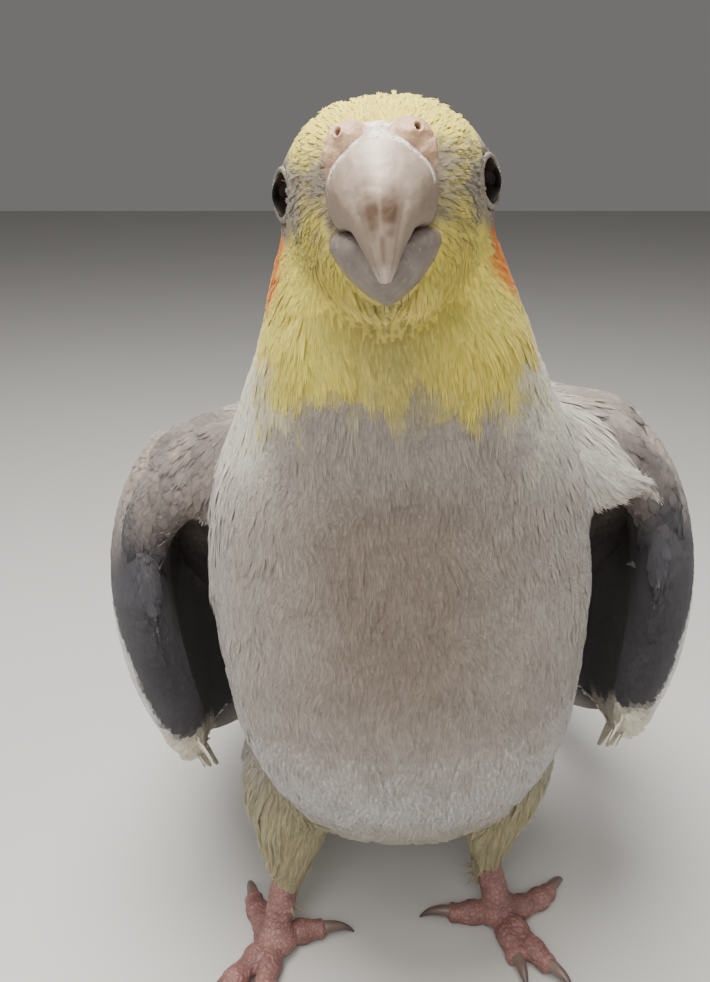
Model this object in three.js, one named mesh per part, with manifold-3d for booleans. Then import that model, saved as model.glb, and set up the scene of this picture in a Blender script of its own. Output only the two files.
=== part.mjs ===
// A life-size cockatiel standing upright on a flat floor, its wings held a little off its sides and its crest
// laid back. Millimetres, Z up, the bill towards -Y, so +X is the bird's left. The shapes are given in the
// bird's own frame, with its feet at the origin, and the last lines move the whole bird so that the middle of
// its bounding box stands over the origin.
import * as THREE from 'three';
import { mergeVertices } from 'three/addons/utils/BufferGeometryUtils.js';
import Module from 'manifold-3d';

const wasm = await Module();
wasm.setup();

// Driving dimensions
const GAP = 0.3;
const RAD = Math.PI / 180;
const { lerp, smoothstep } = THREE.MathUtils;
const HIP_HEIGHT = 40;
const HIP_SHIFT = 2.5;
const LEAN = 3.4 * RAD;
const EYE_LINE = { y: -38.9, z: 133 };
const HEAD_PITCH = 10 * RAD;
const HEAD_YAW = 3 * RAD;

// Colours of the plumage and the bare parts
const COLOURS = {
  grey: 0xaea497,
  lemon: 0xe6dc6a,
  wing: 0x6d6660,
  tail: 0x8c857c,
  thigh: 0xb9b48c,
  cere: 0xc9a79b,
  horn: 0xb5a598,
  foot: 0xc58f8a,
  claw: 0x6b5a4e,
  eye: 0x120d0a,
};

// The scene graph: the trunk leans over the hips, and the head turns and tips on it
const bird = new THREE.Group();
const hips = new THREE.Group();
hips.position.set(HIP_SHIFT, 0, HIP_HEIGHT);
hips.rotation.y = -LEAN;
bird.add(hips);
const trunk = new THREE.Group();
trunk.position.set(0, 0, -HIP_HEIGHT);
hips.add(trunk);
const face = new THREE.Group();
face.position.set(0, EYE_LINE.y, EYE_LINE.z);
face.rotation.set(-HEAD_PITCH, 0, -HEAD_YAW);
trunk.add(face);
bird.updateMatrixWorld(true);

// A geometry given in a group's frame, as a closed solid in the bird's frame with its faces pointing out
function solid(geometry, group = bird) {
  const bare = geometry.index ? geometry.toNonIndexed() : geometry.clone();
  bare.deleteAttribute('normal');
  bare.deleteAttribute('uv');
  bare.applyMatrix4(group.matrixWorld);
  const merged = mergeVertices(bare, 1e-4);
  const at = merged.attributes.position;
  const corners = [];
  let volume = 0;
  const [a, b, c] = [new THREE.Vector3(), new THREE.Vector3(), new THREE.Vector3()];
  for (let i = 0; i < merged.index.count; i += 3) {
    const face = [0, 1, 2].map((k) => merged.index.getX(i + k));
    if (new Set(face).size < 3) continue;
    corners.push(face);
    [a, b, c].forEach((v, k) => v.fromBufferAttribute(at, face[k]));
    volume += a.dot(b.cross(c));
  }
  const outward = volume < 0 ? corners.map(([p, q, r]) => [p, r, q]) : corners;
  const mesh = new wasm.Mesh({
    numProp: 3,
    vertProperties: new Float32Array(at.array),
    triVerts: new Uint32Array(outward.flat()),
  });
  return new wasm.Manifold(mesh);
}

// Several solids as one, of which only the largest closed surface is kept
function fuse(...solids) {
  const joined = solids.reduce((sum, next) => sum.add(next));
  return joined.decompose().sort((p, q) => q.volume() - p.volume())[0];
}

// Hands a finished solid to the group that carries it, in that group's own coordinates
function piece(name, shape, colour, group, roughness = 0.9) {
  const made = shape.decompose().sort((p, q) => q.volume() - p.volume())[0].getMesh();
  const geometry = new THREE.BufferGeometry();
  geometry.setAttribute('position', new THREE.BufferAttribute(new Float32Array(made.vertProperties), 3));
  geometry.setIndex(new THREE.BufferAttribute(new Uint32Array(made.triVerts), 1));
  geometry.applyMatrix4(group.matrixWorld.clone().invert());
  geometry.computeVertexNormals();
  const finish = new THREE.MeshStandardMaterial({ color: colour, roughness, metalness: 0 });
  const mesh = new THREE.Mesh(geometry, finish);
  mesh.name = name;
  group.add(mesh);
}

// Closed surface through rings of points, each end closed by a fan from its middle
function loft(rings) {
  const count = rings[0].length;
  const points = rings.flat();
  const index = [];
  for (let i = 0; i < rings.length - 1; i++) {
    for (let j = 0; j < count; j++) {
      const here = i * count;
      const next = here + count;
      const beside = (j + 1) % count;
      index.push(here + j, here + beside, next + j, here + beside, next + beside, next + j);
    }
  }
  [0, rings.length - 1].forEach((end) => {
    const middle = new THREE.Vector3();
    rings[end].forEach((p) => middle.addScaledVector(p, 1 / count));
    points.push(middle);
    for (let j = 0; j < count; j++) {
      const pair = [end * count + j, end * count + ((j + 1) % count)];
      if (end === 0) pair.reverse();
      index.push(points.length - 1, ...pair);
    }
  });
  const geometry = new THREE.BufferGeometry().setFromPoints(points);
  geometry.setIndex(index);
  return geometry;
}

// Curves through the columns of a table of stations, read at the same share of the way
function through(rows) {
  return new THREE.CatmullRomCurve3(rows.map((row) => new THREE.Vector3(...row)));
}

const signedPower = (value, power) => Math.sign(value) * Math.abs(value) ** power;

// One oval ring: half-width across, and its own depth on either side of the middle
function oval(centre, across, ahead, size, points, fullness = 2.2) {
  const ring = [];
  for (let j = 0; j < points; j++) {
    const turn = (2 * Math.PI * j) / points;
    const side = size.x * signedPower(Math.cos(turn), 2 / fullness);
    const depth = (Math.sin(turn) > 0 ? size.y : size.z) * signedPower(Math.sin(turn), 2 / fullness);
    ring.push(centre.clone().addScaledVector(across, side).addScaledVector(ahead, depth));
  }
  return ring;
}

const ACROSS = new THREE.Vector3(1, 0, 0);

// Torso and neck are one body from the vent up into the head. Each station gives where the spine passes in
// the plane of symmetry (y, z), then the half-width and the depth ahead of and behind it.
const BODY = [
  [55, 31, 6, 4, 5],
  [40, 29.5, 15, 9.5, 13],
  [21, 34.5, 23.6, 19.5, 22],
  [6, 45, 27.5, 27.3, 27],
  [-4, 58, 28.9, 29, 28],
  [-11, 71, 28.9, 28, 27],
  [-16, 84, 28.2, 25, 24],
  [-20.5, 95.5, 25, 22.5, 19.5],
  [-25, 105.5, 20.2, 19.5, 16],
  [-29.5, 114, 16.9, 17, 14],
  [-33, 122, 14.9, 14.5, 13],
  [-35.5, 129, 12.8, 11, 12],
  [-37, 134, 8, 7, 8],
];
const SPINE = through(BODY.map(([y, z]) => [0, y, z]));
const GIRTH = through(BODY.map((row) => row.slice(2)));

function body(grow, rings = 18, points = 22) {
  const sections = [];
  for (let i = 0; i <= rings; i++) {
    const size = GIRTH.getPoint(i / rings).addScalar(grow);
    const along = SPINE.getTangent(i / rings);
    const ahead = new THREE.Vector3(0, -along.z, along.y);
    sections.push(oval(SPINE.getPoint(i / rings), ACROSS, ahead, size, points));
  }
  return solid(loft(sections), trunk);
}

// The head, in the face's frame, whose origin is midway between the eyes: how far ahead, how high its middle
// lies, then its half-width and how far it reaches up and down from there
const HEAD = [
  [-17.5, -1, 1.5, 1.5, 1.5],
  [-16, -1, 6.5, 5.6, 6],
  [-12, -1, 10.6, 8.8, 10],
  [-6, -0.5, 12.1, 9.7, 12.5],
  [-1.5, -0.5, 12, 9.7, 13.5],
  [2, -0.5, 11, 9.4, 13.6],
  [5, -0.5, 10, 8.7, 13.6],
  [9, -1, 8.7, 7.2, 12.6],
  [12, -1.5, 6.6, 5.4, 10.5],
  [13.6, -2.5, 4, 3.6, 6.5],
];
const HEAD_LINE = through(HEAD.map(([ahead, up]) => [0, -ahead, up]));
const HEAD_SIZE = through(HEAD.map((row) => row.slice(2)));
const UP = new THREE.Vector3(0, 0, 1);

function skull(grow, rings = 11, points = 20) {
  const sections = [];
  for (let i = 0; i <= rings; i++) {
    const size = HEAD_SIZE.getPoint(i / rings).addScalar(grow);
    sections.push(oval(HEAD_LINE.getPoint(i / rings), ACROSS, UP, size, points, 2.3));
  }
  return solid(loft(sections), face);
}

// Eyes look out to the sides and a little ahead
const EYE = {
  radius: 3.8,
  at: [8.3, 1.5, -0.45],
  ahead: 33 * RAD,
  lid: 2.45,
  lidThickness: 0.6,
  lidOut: 2.85,
};

function eyePlace(side, out) {
  const axis = new THREE.Vector3(side * Math.cos(EYE.ahead), -Math.sin(EYE.ahead), 0);
  const [x, y, z] = EYE.at;
  return { axis, at: new THREE.Vector3(side * x, y, z).addScaledVector(axis, out) };
}

function eyeball(side, grow) {
  const ball = new THREE.SphereGeometry(EYE.radius + grow, 14, 8);
  ball.rotateZ(Math.PI / 2);
  ball.translate(...eyePlace(side, 0).at.toArray());
  return solid(ball, face);
}

function eyelids(side) {
  const ring = new THREE.TorusGeometry(EYE.lid, EYE.lidThickness, 5, 12);
  const { axis, at } = eyePlace(side, EYE.lidOut);
  ring.applyQuaternion(new THREE.Quaternion().setFromUnitVectors(UP, axis));
  ring.translate(...at.toArray());
  return solid(ring, face);
}

// The upper bill from its root to its tip: the ridge (ahead, up), the cutting edge (ahead, up) and half-width
const UPPER_BILL = [
  [9.5, 2, 8.5, -6, 4.6],
  [13, 3.4, 11, -6.5, 5.2],
  [16, 2.6, 13.6, -6.5, 5.1],
  [18.6, 0.3, 15.4, -6.3, 4.3],
  [20, -3, 16.2, -6.6, 3.4],
  [19.8, -6.4, 16.4, -7.9, 2.5],
  [18.6, -9, 16.4, -9.4, 1.6],
  [17, -10.8, 16.2, -10.6, 0.5],
];
// The lower bill from its root to its rim: ahead, its upper edge, its keel and half-width
const LOWER_BILL = [
  [7, -6.8, -11, 4.6],
  [9.6, -6.8, -12.2, 5.2],
  [12, -6.8, -12.6, 4.7],
  [14, -6.9, -12.1, 3.7],
  [15.6, -7.3, -11, 2.6],
  [16.6, -8, -9.8, 1.2],
];

// A ring round a bill, keeled above and broad below
function hornRing(top, bottom, halfWidth, points, grow) {
  const middle = top.clone().add(bottom).multiplyScalar(0.5);
  const rise = top.clone().sub(bottom).multiplyScalar(0.5);
  rise.setLength(rise.length() + grow);
  const ring = [];
  for (let j = 0; j < points; j++) {
    const turn = (2 * Math.PI * j) / points;
    const fullness = Math.sin(turn) > 0 ? 1.75 : 3.2;
    const side = (halfWidth + grow) * signedPower(Math.cos(turn), 2 / fullness);
    const high = signedPower(Math.sin(turn), 2 / fullness);
    ring.push(middle.clone().addScaledVector(ACROSS, side).addScaledVector(rise, high));
  }
  return ring;
}

function upperBill(grow, rings = 12, points = 12) {
  const ridge = through(UPPER_BILL.map(([ahead, up]) => [0, -ahead, up]));
  const edge = through(UPPER_BILL.map(([, , ahead, up]) => [0, -ahead, up]));
  const width = through(UPPER_BILL.map((row) => [row[4], 0, 0]));
  const sections = [];
  for (let i = 0; i <= rings; i++) {
    const t = i / rings;
    sections.push(hornRing(ridge.getPoint(t), edge.getPoint(t), width.getPoint(t).x, points, grow));
  }
  return solid(loft(sections), face);
}

function lowerBill(rings = 7, points = 12) {
  const rim = through(LOWER_BILL.map(([ahead, top]) => [0, -ahead, top]));
  const keel = through(LOWER_BILL.map(([ahead, , bottom]) => [0, -ahead, bottom]));
  const width = through(LOWER_BILL.map((row) => [row[3], 0, 0]));
  const sections = [];
  for (let i = 0; i <= rings; i++) {
    const t = i / rings;
    sections.push(hornRing(keel.getPoint(t), rim.getPoint(t), width.getPoint(t).x, points, 0));
  }
  return solid(loft(sections), face);
}

// The cere: two swollen bulbs over the root of the bill, each with a nostril, joined by a low saddle
const CERE = { out: 2.5, ahead: 13.4, up: 1.9, size: [2.15, 2.9, 2.2], nostril: 0.5 };

function cere(grow) {
  const bulb = (side) => {
    const shape = new THREE.SphereGeometry(1, 12, 7);
    shape.scale(...CERE.size.map((r) => r + grow));
    shape.translate(side * CERE.out, -CERE.ahead, CERE.up);
    return solid(shape, face);
  };
  const saddle = new THREE.SphereGeometry(1, 12, 6);
  saddle.scale(3.4 + grow, 2.4 + grow, 1.7 + grow);
  saddle.translate(0, -(CERE.ahead - 0.6), CERE.up + 0.4);
  return fuse(bulb(1), bulb(-1), solid(saddle, face));
}

function nostril(side) {
  const hole = new THREE.CylinderGeometry(CERE.nostril, CERE.nostril * 0.5, 2.4, 6);
  hole.rotateX(Math.PI / 2 - 0.5);
  hole.translate(side * (CERE.out + 0.5), -(CERE.ahead + 2), CERE.up + 1.5);
  return solid(hole, face);
}

// A feather's vane: rows of lower edge, shaft and upper edge, split into triangles alike on both faces
function vane(rows) {
  const points = [];
  const index = [];
  rows.forEach(({ edges, out, half }) => {
    [half, -half].forEach((lift) => edges.forEach((p) => points.push(p.clone().addScaledVector(out, lift))));
  });
  const quad = (a, b, c, d) => index.push(a, b, d, b, c, d);
  for (let i = 0; i < rows.length - 1; i++) {
    const here = i * 6;
    const next = here + 6;
    [0, 3].forEach((level) => {
      const [l, m, r] = [0, 1, 2].map((k) => here + level + k);
      const [fl, fm, fr] = [0, 1, 2].map((k) => next + level + k);
      const faces = [[l, m, fl], [m, fm, fl], [m, r, fr], [m, fr, fm]];
      faces.forEach((face) => index.push(...(level ? face.reverse() : face)));
    });
    quad(here + 3, here, next, next + 3);
    quad(here + 2, here + 5, next + 5, next + 2);
  }
  const last = (rows.length - 1) * 6;
  quad(0, 3, 4, 1);
  quad(1, 4, 5, 2);
  quad(last + 3, last, last + 1, last + 4);
  quad(last + 4, last + 1, last + 2, last + 5);
  const geometry = new THREE.BufferGeometry().setFromPoints(points);
  geometry.setIndex(index);
  return geometry;
}

// Share of a vane's full width at a share of the way from root to tip
function vaneWidth(t, pointed) {
  const root = 0.5 + 0.5 * Math.min(1, t / 0.2);
  const from = pointed ? 0.55 : 0.72;
  const tip = t < from ? 1 : Math.sqrt(1 - ((t - from) / (1 - from)) ** (pointed ? 1.4 : 2.2));
  return Math.max(root * tip, pointed ? 0.12 : 0.3);
}

const VANE_HALF = 0.3;

// A feather laid in a curved space from root to tip, both given as [along, up]. place(along, up, out) gives
// points, surface(along, up) tells how far out the ground under it lies, and lift(share, edge) how far the
// vane stands off that ground, with edge -1 at its lower edge, 0 at its shaft and 1 at its upper edge.
function feather(place, surface, lift, group, { root, tip, width, bow = 0, pointed = false, rows = 5 }) {
  const [reach, rise] = [tip[0] - root[0], tip[1] - root[1]];
  const length = Math.hypot(reach, rise);
  const list = [];
  for (let i = 0; i <= rows; i++) {
    const t = i / rows;
    const sag = bow * 4 * t * (1 - t);
    const middle = [root[0] + reach * t - (rise / length) * sag, root[1] + rise * t + (reach / length) * sag];
    const half = (width / 2) * vaneWidth(t, pointed);
    const spot = (edge, more) => {
      const along = middle[0] - (rise / length) * half * edge;
      const up = middle[1] + (reach / length) * half * edge;
      return place(along, up, surface(along, up) + lift(t, edge) + more);
    };
    list.push({
      edges: [-1, 0, 1].map((edge) => spot(edge, 0)),
      out: spot(0, 1).sub(spot(0, 0)).normalize(),
      half: VANE_HALF * (t > 0.8 ? 0.75 : 1),
    });
  }
  return solid(vane(list), group);
}

// A row of a table of stations at any distance along, between its neighbours
function station(rows, along) {
  const next = rows.findIndex((row) => row[0] > along);
  if (next === 0) return rows[0];
  if (next < 0) return rows[rows.length - 1];
  const t = (along - rows[next - 1][0]) / (rows[next][0] - rows[next - 1][0]);
  return rows[next].map((value, k) => lerp(rows[next - 1][k], value, t));
}

const BLADE_FULLNESS = 2.4;

// How far out a blade's face lies at a place along and up it
function bladeFace(rows, along, up) {
  const [, middle, halfHeight, halfDepth] = station(rows, along);
  const r = Math.min(1, Math.abs(up - middle) / halfHeight);
  return along > rows[rows.length - 1][0] ? 0 : halfDepth * (1 - r ** BLADE_FULLNESS) ** (1 / BLADE_FULLNESS);
}

// A flat blade in a curved space: stations give how far along, its middle, half its height and half its depth
function blade(rows, place, group, rings, points) {
  const line = through(rows.map(([along, middle]) => [along, middle, 0]));
  const size = through(rows.map((row) => [row[2], row[3], 0]));
  const sections = [];
  for (let i = 0; i <= rings; i++) {
    const [centre, reach] = [line.getPoint(i / rings), size.getPoint(i / rings)];
    const depth = new THREE.Vector3(reach.x, reach.y, reach.y);
    const ring = oval(new THREE.Vector3(), UP, ACROSS, depth, points, BLADE_FULLNESS);
    sections.push(ring.map((p) => place(centre.x, p.z + centre.y, p.x)));
  }
  return solid(loft(sections), group);
}

// The wing's own space, for the bird's left side: along from the wrist to the wing tip, up across the wing,
// and out from its middle surface, which curls round the body
const WING_LINE = through([
  [37, -15, 74],
  [41.5, -2, 66.5],
  [41.7, 13, 57.8],
  [38.2, 35, 46],
  [31, 62, 34.5],
  [22, 97, 23],
  [14.5, 134, 14.8],
]);
const WING_LENGTH = WING_LINE.getLength();
const WING_CURL = 40;
// How much further out each wrist is held than in a symmetrical bird
const SPREAD = { left: 1, right: 0 };
const WINGS = [{ side: 1, name: 'left' }, { side: -1, name: 'right' }];

function wingSpace({ side, name }) {
  return (along, up, out) => {
    const t = THREE.MathUtils.clamp(along / WING_LENGTH, 0, 1);
    const ahead = WING_LINE.getTangentAt(t);
    const at = WING_LINE.getPointAt(t).addScaledVector(ahead, along - t * WING_LENGTH);
    const rise = UP.clone().addScaledVector(ahead, -ahead.z).normalize();
    const outward = new THREE.Vector3().crossVectors(ahead, rise);
    const curl = WING_CURL * (1 + 2.5 * t ** 2);
    const turn = up / curl;
    at.addScaledVector(rise, (curl + out) * Math.sin(turn));
    at.addScaledVector(outward, (curl + out) * Math.cos(turn) - curl);
    at.x += SPREAD[name] * (1 - t) ** 2;
    return new THREE.Vector3(side * at.x, at.y, at.z);
  };
}

// The arm and hand under their small coverts, thinning into the ground of the flight feathers, which ends
// short of their tips: along, the height of the middle, half the height and half the depth
const ARM = [
  [-4, 6, 7, 1.4],
  [2, 7.5, 17, 4],
  [10, 5.5, 25, 5],
  [22, 2, 27.5, 4.8],
  [37, -0.5, 24, 3.8],
  [53, -1.8, 18.5, 2.8],
  [74, -3, 13, 2],
  [98, -4, 8.5, 1.4],
  [122, -5, 5, 1],
  [142, -5.6, 2.6, 0.7],
];

// The shoulder under the scapular feathers, a slope from the back of the torso down to the wing
const SHOULDER = { at: [25, 6, 76.5], size: [13, 24, 9], slope: -0.92 };

function shoulder({ side, name }, grow) {
  const mass = new THREE.SphereGeometry(1, 14, 8);
  const more = SPREAD[name] * 1.5;
  mass.scale(SHOULDER.size[0] + more + grow, SHOULDER.size[1] + grow, SHOULDER.size[2] + grow);
  mass.rotateX(SHOULDER.slope);
  mass.translate(side * (SHOULDER.at[0] + more), SHOULDER.at[1], SHOULDER.at[2]);
  return solid(mass, trunk);
}

// Each group of a wing's feathers runs from a first to a last one, by root, tip and width. The lowest feather
// of the hand is the longest. A flight feather's lower edge stands over the next one below it.
const FLIGHT = [
  {
    count: 5,
    roots: [[54, -12], [46, -18.5]],
    tips: [[118, -2], [WING_LENGTH, -7]],
    widths: [9.5, 8.5],
    bow: -2.5,
  },
  { count: 4, roots: [[54, 1], [56, -8]], tips: [[99, 4.5], [112, -0.5]], widths: [9.5, 9.5], bow: -1 },
  { count: 3, roots: [[44, 13], [52, 5]], tips: [[80, 11.5], [94, 7.5]], widths: [10.5, 10], bow: 0 },
];
// How far a flight feather stands off the blade at its lower edge, its shaft and its upper edge, how deep its
// root is sunk, and how far the coverts over it stand off the blade
const FLIGHT_LIFT = [2.2, 1.35, 0.6];
const ROOT_DEPTH = 2;
const FLIGHT_DEPTH = 2.6;
// Where the small coverts of the hand give way to the flight feathers
const HAND_END = [44, 56];
const COVERTS = [
  { count: 5, roots: [[43, 12], [46, -17.5]], tips: [[67, 13], [76, -14.5]], widths: [9.6, 8.8] },
  { count: 4, roots: [[26, 16], [26, -16]], tips: [[50, 15.5], [56, -17.5]], widths: [12.6, 11.6] },
];

function wing(which) {
  const place = wingSpace(which);
  const parts = [blade(ARM, place, trunk, ARM.length - 1, 12)];
  const each = ({ count, roots, tips, widths, bow }, make) => {
    for (let k = 0; k < count; k++) {
      const share = k / (count - 1);
      const between = ([first, last]) => first.map((value, i) => lerp(value, last[i], share));
      make({ root: between(roots), tip: between(tips), width: lerp(...widths, share), bow });
    }
  };
  const ground = (along, up) => bladeFace(ARM, along, up);
  const flightLift = (t, edge) => FLIGHT_LIFT[edge + 1] - (t === 0 ? ROOT_DEPTH : 0);
  FLIGHT.forEach((group, tier) => each(group, (spec) => {
    parts.push(feather(place, ground, flightLift, trunk, { ...spec, pointed: tier === 0, rows: 4 }));
  }));
  const covered = (along, up) => ground(along, up) + FLIGHT_DEPTH * smoothstep(along, ...HAND_END);
  const covertLift = (t, edge) => lerp(-ROOT_DEPTH / 2, 0.9, Math.min(1, t * 2)) - 0.35 * edge;
  COVERTS.forEach((group) => each(group, (spec) => {
    parts.push(feather(place, covered, covertLift, trunk, { ...spec, rows: 3 }));
  }));
  return fuse(...parts);
}

// The tail's own space: along from its root to its tip, aside, and up from the face of its middle pair
const TAIL_LINE = through([
  [0, 30, 39],
  [0, 63, 33],
  [0, 103, 22],
  [0, 143, 11],
  [0, 172, 4],
  [0, 199, 0.1],
]);
const TAIL_LENGTH = 169;

function tailSpace(along, aside, up) {
  const t = THREE.MathUtils.clamp(along / TAIL_LINE.getLength(), 0, 1);
  const back = TAIL_LINE.getTangentAt(t);
  const rise = new THREE.Vector3(0, -back.z, back.y);
  return TAIL_LINE.getPointAt(t).addScaledVector(ACROSS, aside).addScaledVector(rise, up);
}

// The rump and the under tail coverts round the root of the tail: along, the height of the middle, half the
// width and half the depth
const RUMP = [
  [2, -4.5, 12.5, 10.5],
  [14, -4, 12.5, 9.5],
  [32, -3, 10, 6.4],
  [50, -2.2, 7, 4],
];
// The coverts stay over the middle pair and under the outermost one
const COVERT_LEVEL = { over: 0.2, under: -5.4 };
const TAIL_PAIRS = 6;
const PAIR_STEP = 0.9;

function tail() {
  const upright = (along, up, aside) => tailSpace(along, aside, up);
  const onSide = (rows) => rows.map(([along, middle, wide, deep]) => [along, middle, deep, wide]);
  const parts = [blade(onSide(RUMP), upright, bird, 5, 14)];
  const level = () => 0;
  for (let pair = 0; pair < TAIL_PAIRS; pair++) {
    const share = pair / (TAIL_PAIRS - 1);
    [-1, 1].forEach((side) => {
      const width = lerp(8.6, 7.8, share);
      const inner = (width / 2) + 0.2;
      const lift = (t, edge) => -PAIR_STEP * pair - 0.09 * (width / 2) * edge * side;
      parts.push(feather(tailSpace, level, lift, bird, {
        root: [26, side * lerp(inner, inner * 0.9, share)],
        tip: [lerp(TAIL_LENGTH, 100, share ** 0.85), side * lerp(inner - 3.2, inner + 7.5, share)],
        width,
        bow: side * lerp(0.6, 0.2, share),
        pointed: true,
        rows: 5,
      }));
    });
  }
  [1, -1].forEach((over) => {
    for (let k = -1; k <= 1; k++) {
      const ground = (along, aside) => {
        const [, middle, wide, deep] = station(RUMP, along);
        const height = middle + over * deep * Math.sqrt(Math.max(0, 1 - (aside / wide) ** 2));
        return over > 0 ? Math.max(height, COVERT_LEVEL.over) : Math.min(height, COVERT_LEVEL.under);
      };
      const lift = (t) => over * (lerp(-0.8, 0.8, Math.min(1, t * 2)) + 0.45 * (k % 2));
      parts.push(feather(tailSpace, ground, lift, bird, {
        root: [18, k * 4],
        tip: [60 - 7 * Math.abs(k), k * 4.6],
        width: 8,
        rows: 3,
      }));
    }
  });
  return fuse(...parts).trimByPlane([0, 0, 1], 0);
}

// The crest, laid back over the crown and lifting at its tips. Its feathers lie in tiers, the longest lowest:
// each tier has how far back its roots lie, its feathers' length and how far from the middle each one is
const CREST_LINE = through([
  [0, 4, 8],
  [0, 10, 8],
  [0, 17, 7.4],
  [0, 26, 7.7],
  [0, 35, 9.6],
  [0, 44, 12.8],
]);
const CREST_CORE = [
  [0, 0.8, 2.4, 0.8],
  [6, 0.9, 3.4, 1.5],
  [13, 0.9, 2.8, 1.5],
  [20, 0.6, 1.4, 0.9],
];
const CREST_TIERS = [
  { back: 6, length: 34, asides: [0, -2.3, 2.3] },
  { back: 4, length: 27, asides: [-1.2, 1.2] },
  { back: 2, length: 19, asides: [-1.6, 1.6] },
];
const CREST_STEP = 0.9;

function crestSpace(along, aside, up) {
  const t = THREE.MathUtils.clamp(along / CREST_LINE.getLength(), 0, 1);
  const back = CREST_LINE.getTangentAt(t);
  const rise = new THREE.Vector3(0, -back.z, back.y);
  return CREST_LINE.getPointAt(t).addScaledVector(ACROSS, aside).addScaledVector(rise, up);
}

function crest() {
  const upright = (along, up, aside) => crestSpace(along, aside, up);
  const core = CREST_CORE.map(([along, middle, wide, deep]) => [along, middle, deep, wide]);
  const parts = [blade(core, upright, face, 5, 10)];
  CREST_TIERS.forEach(({ back, length, asides }, tier) => {
    asides.forEach((aside) => {
      const lift = (t) => CREST_STEP * tier * (1 - 0.3 * t) + 0.2;
      parts.push(feather(crestSpace, () => 0, lift, face, {
        root: [back, aside * 0.7],
        tip: [back + length - Math.abs(aside) * 2, aside],
        width: 2.1,
        bow: aside * 0.1,
        pointed: true,
        rows: 4,
      }));
    });
  });
  return fuse(...parts);
}

// Where each foot stands (the joint of its toes), and which way each toe points: degrees from straight ahead,
// outward positive
const FEET = [
  {
    side: 1,
    name: 'left',
    at: [20.5, -1.5],
    ankle: [17.6, 2],
    toes: { outer_front: [24, 36], inner_front: [9, 9], outer_rear: [98, 142], inner_rear: [-86, -95] },
  },
  {
    side: -1,
    name: 'right',
    at: [-20.4, -8.5],
    ankle: [-18.6, -4.6],
    toes: { outer_front: [36, 38], inner_front: [8, 4], outer_rear: [146, 166], inner_rear: [-122, -98] },
  },
];
const TOES = {
  outer_front: { length: 15, joints: 3 },
  inner_front: { length: 11.5, joints: 2 },
  outer_rear: { length: 12.5, joints: 3 },
  inner_rear: { length: 9.5, joints: 2 },
};
const TOE_RADIUS = 2.1;
const TOE_HEIGHT = 1.75;
const CLAW = { length: 5, radius: 1.15, drop: 1.2 };

// A round rod along a curve, with a radius for each share of the way
function rod(path, radius, rings, points) {
  const sections = [];
  for (let i = 0; i <= rings; i++) {
    const t = i / rings;
    const along = path.getTangent(t);
    const across = new THREE.Vector3().crossVectors(along, Math.abs(along.z) > 0.9 ? ACROSS : UP).normalize();
    const over = new THREE.Vector3().crossVectors(across, along);
    const r = radius(t);
    sections.push(oval(path.getPoint(t), across, over, new THREE.Vector3(r, r, r), points, 2));
  }
  return loft(sections);
}

// A point of a toe, or of the claw beyond it: the toe turns evenly from its first direction to its last
function toePoint(foot, name, reach, height) {
  const [first, last] = foot.toes[name];
  const { length } = TOES[name];
  const at = new THREE.Vector3(foot.at[0], foot.at[1], height);
  const steps = 8;
  for (let i = 0; i < steps; i++) {
    const share = Math.min(1, (reach * (i + 0.5)) / (steps * length));
    const turn = lerp(first, last, share) * RAD;
    at.x += (foot.side * Math.sin(turn) * reach) / steps;
    at.y -= (Math.cos(turn) * reach) / steps;
  }
  return at;
}

function toe(foot, name) {
  const { length, joints } = TOES[name];
  const at = (reach, z) => toePoint(foot, name, reach, z);
  const path = new THREE.CatmullRomCurve3([
    at(0, 3.2),
    at(length * 0.35, 2.3),
    at(length * 0.7, 2),
    at(length, TOE_HEIGHT),
  ]);
  const swell = (t) => 1 + 0.1 * Math.cos(2 * Math.PI * joints * t);
  const radius = (t) => TOE_RADIUS * (1.12 - 0.28 * t) * swell(t) * (t > 0.93 ? 0.82 : 1);
  return solid(rod(path, radius, 6, 6));
}

function claw(foot, name, grow = 0) {
  const at = (reach, z) => toePoint(foot, name, TOES[name].length + 0.2 + reach, z);
  const path = new THREE.QuadraticBezierCurve3(
    at(-1.6, TOE_HEIGHT + 0.3),
    at(CLAW.length * 0.6, TOE_HEIGHT + CLAW.drop),
    at(CLAW.length, 0.35),
  );
  return solid(rod(path, (t) => CLAW.radius * (1 - 0.85 * t ** 1.5) + grow, 5, 6));
}

// A feathered thigh from the hip down to the ankle, in the bird's frame: stations from hip to ankle give the
// share of the way, the half-width and the depth
const THIGH = [
  [0, 13, 12.5],
  [0.25, 12.2, 12],
  [0.5, 9.4, 9.8],
  [0.75, 5.8, 6.4],
  [0.92, 4.2, 4.5],
  [1, 3, 3.2],
];
const ANKLE_HEIGHT = 8.5;

function thigh(foot, grow) {
  const hip = new THREE.Vector3(foot.side * 15.4, 3, 44).applyMatrix4(trunk.matrixWorld);
  const ankle = new THREE.Vector3(...foot.ankle, ANKLE_HEIGHT);
  const path = new THREE.QuadraticBezierCurve3(
    hip,
    hip.clone().lerp(ankle, 0.55).add(new THREE.Vector3(foot.side * 1.2, -2, 0)),
    ankle,
  );
  const size = through(THIGH);
  const rings = 10;
  const sections = [];
  for (let i = 0; i <= rings; i++) {
    const station = size.getPoint(i / rings);
    const t = Math.min(station.x, 1);
    const along = path.getTangent(t);
    const ahead = new THREE.Vector3().crossVectors(ACROSS, along).normalize();
    const reach = new THREE.Vector3(station.y + grow, station.z + grow, station.z + grow);
    const centre = path.getPoint(t).addScaledVector(along, i === rings ? grow : 0);
    sections.push(oval(centre, ACROSS, ahead, reach, 16));
  }
  return solid(loft(sections));
}

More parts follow.
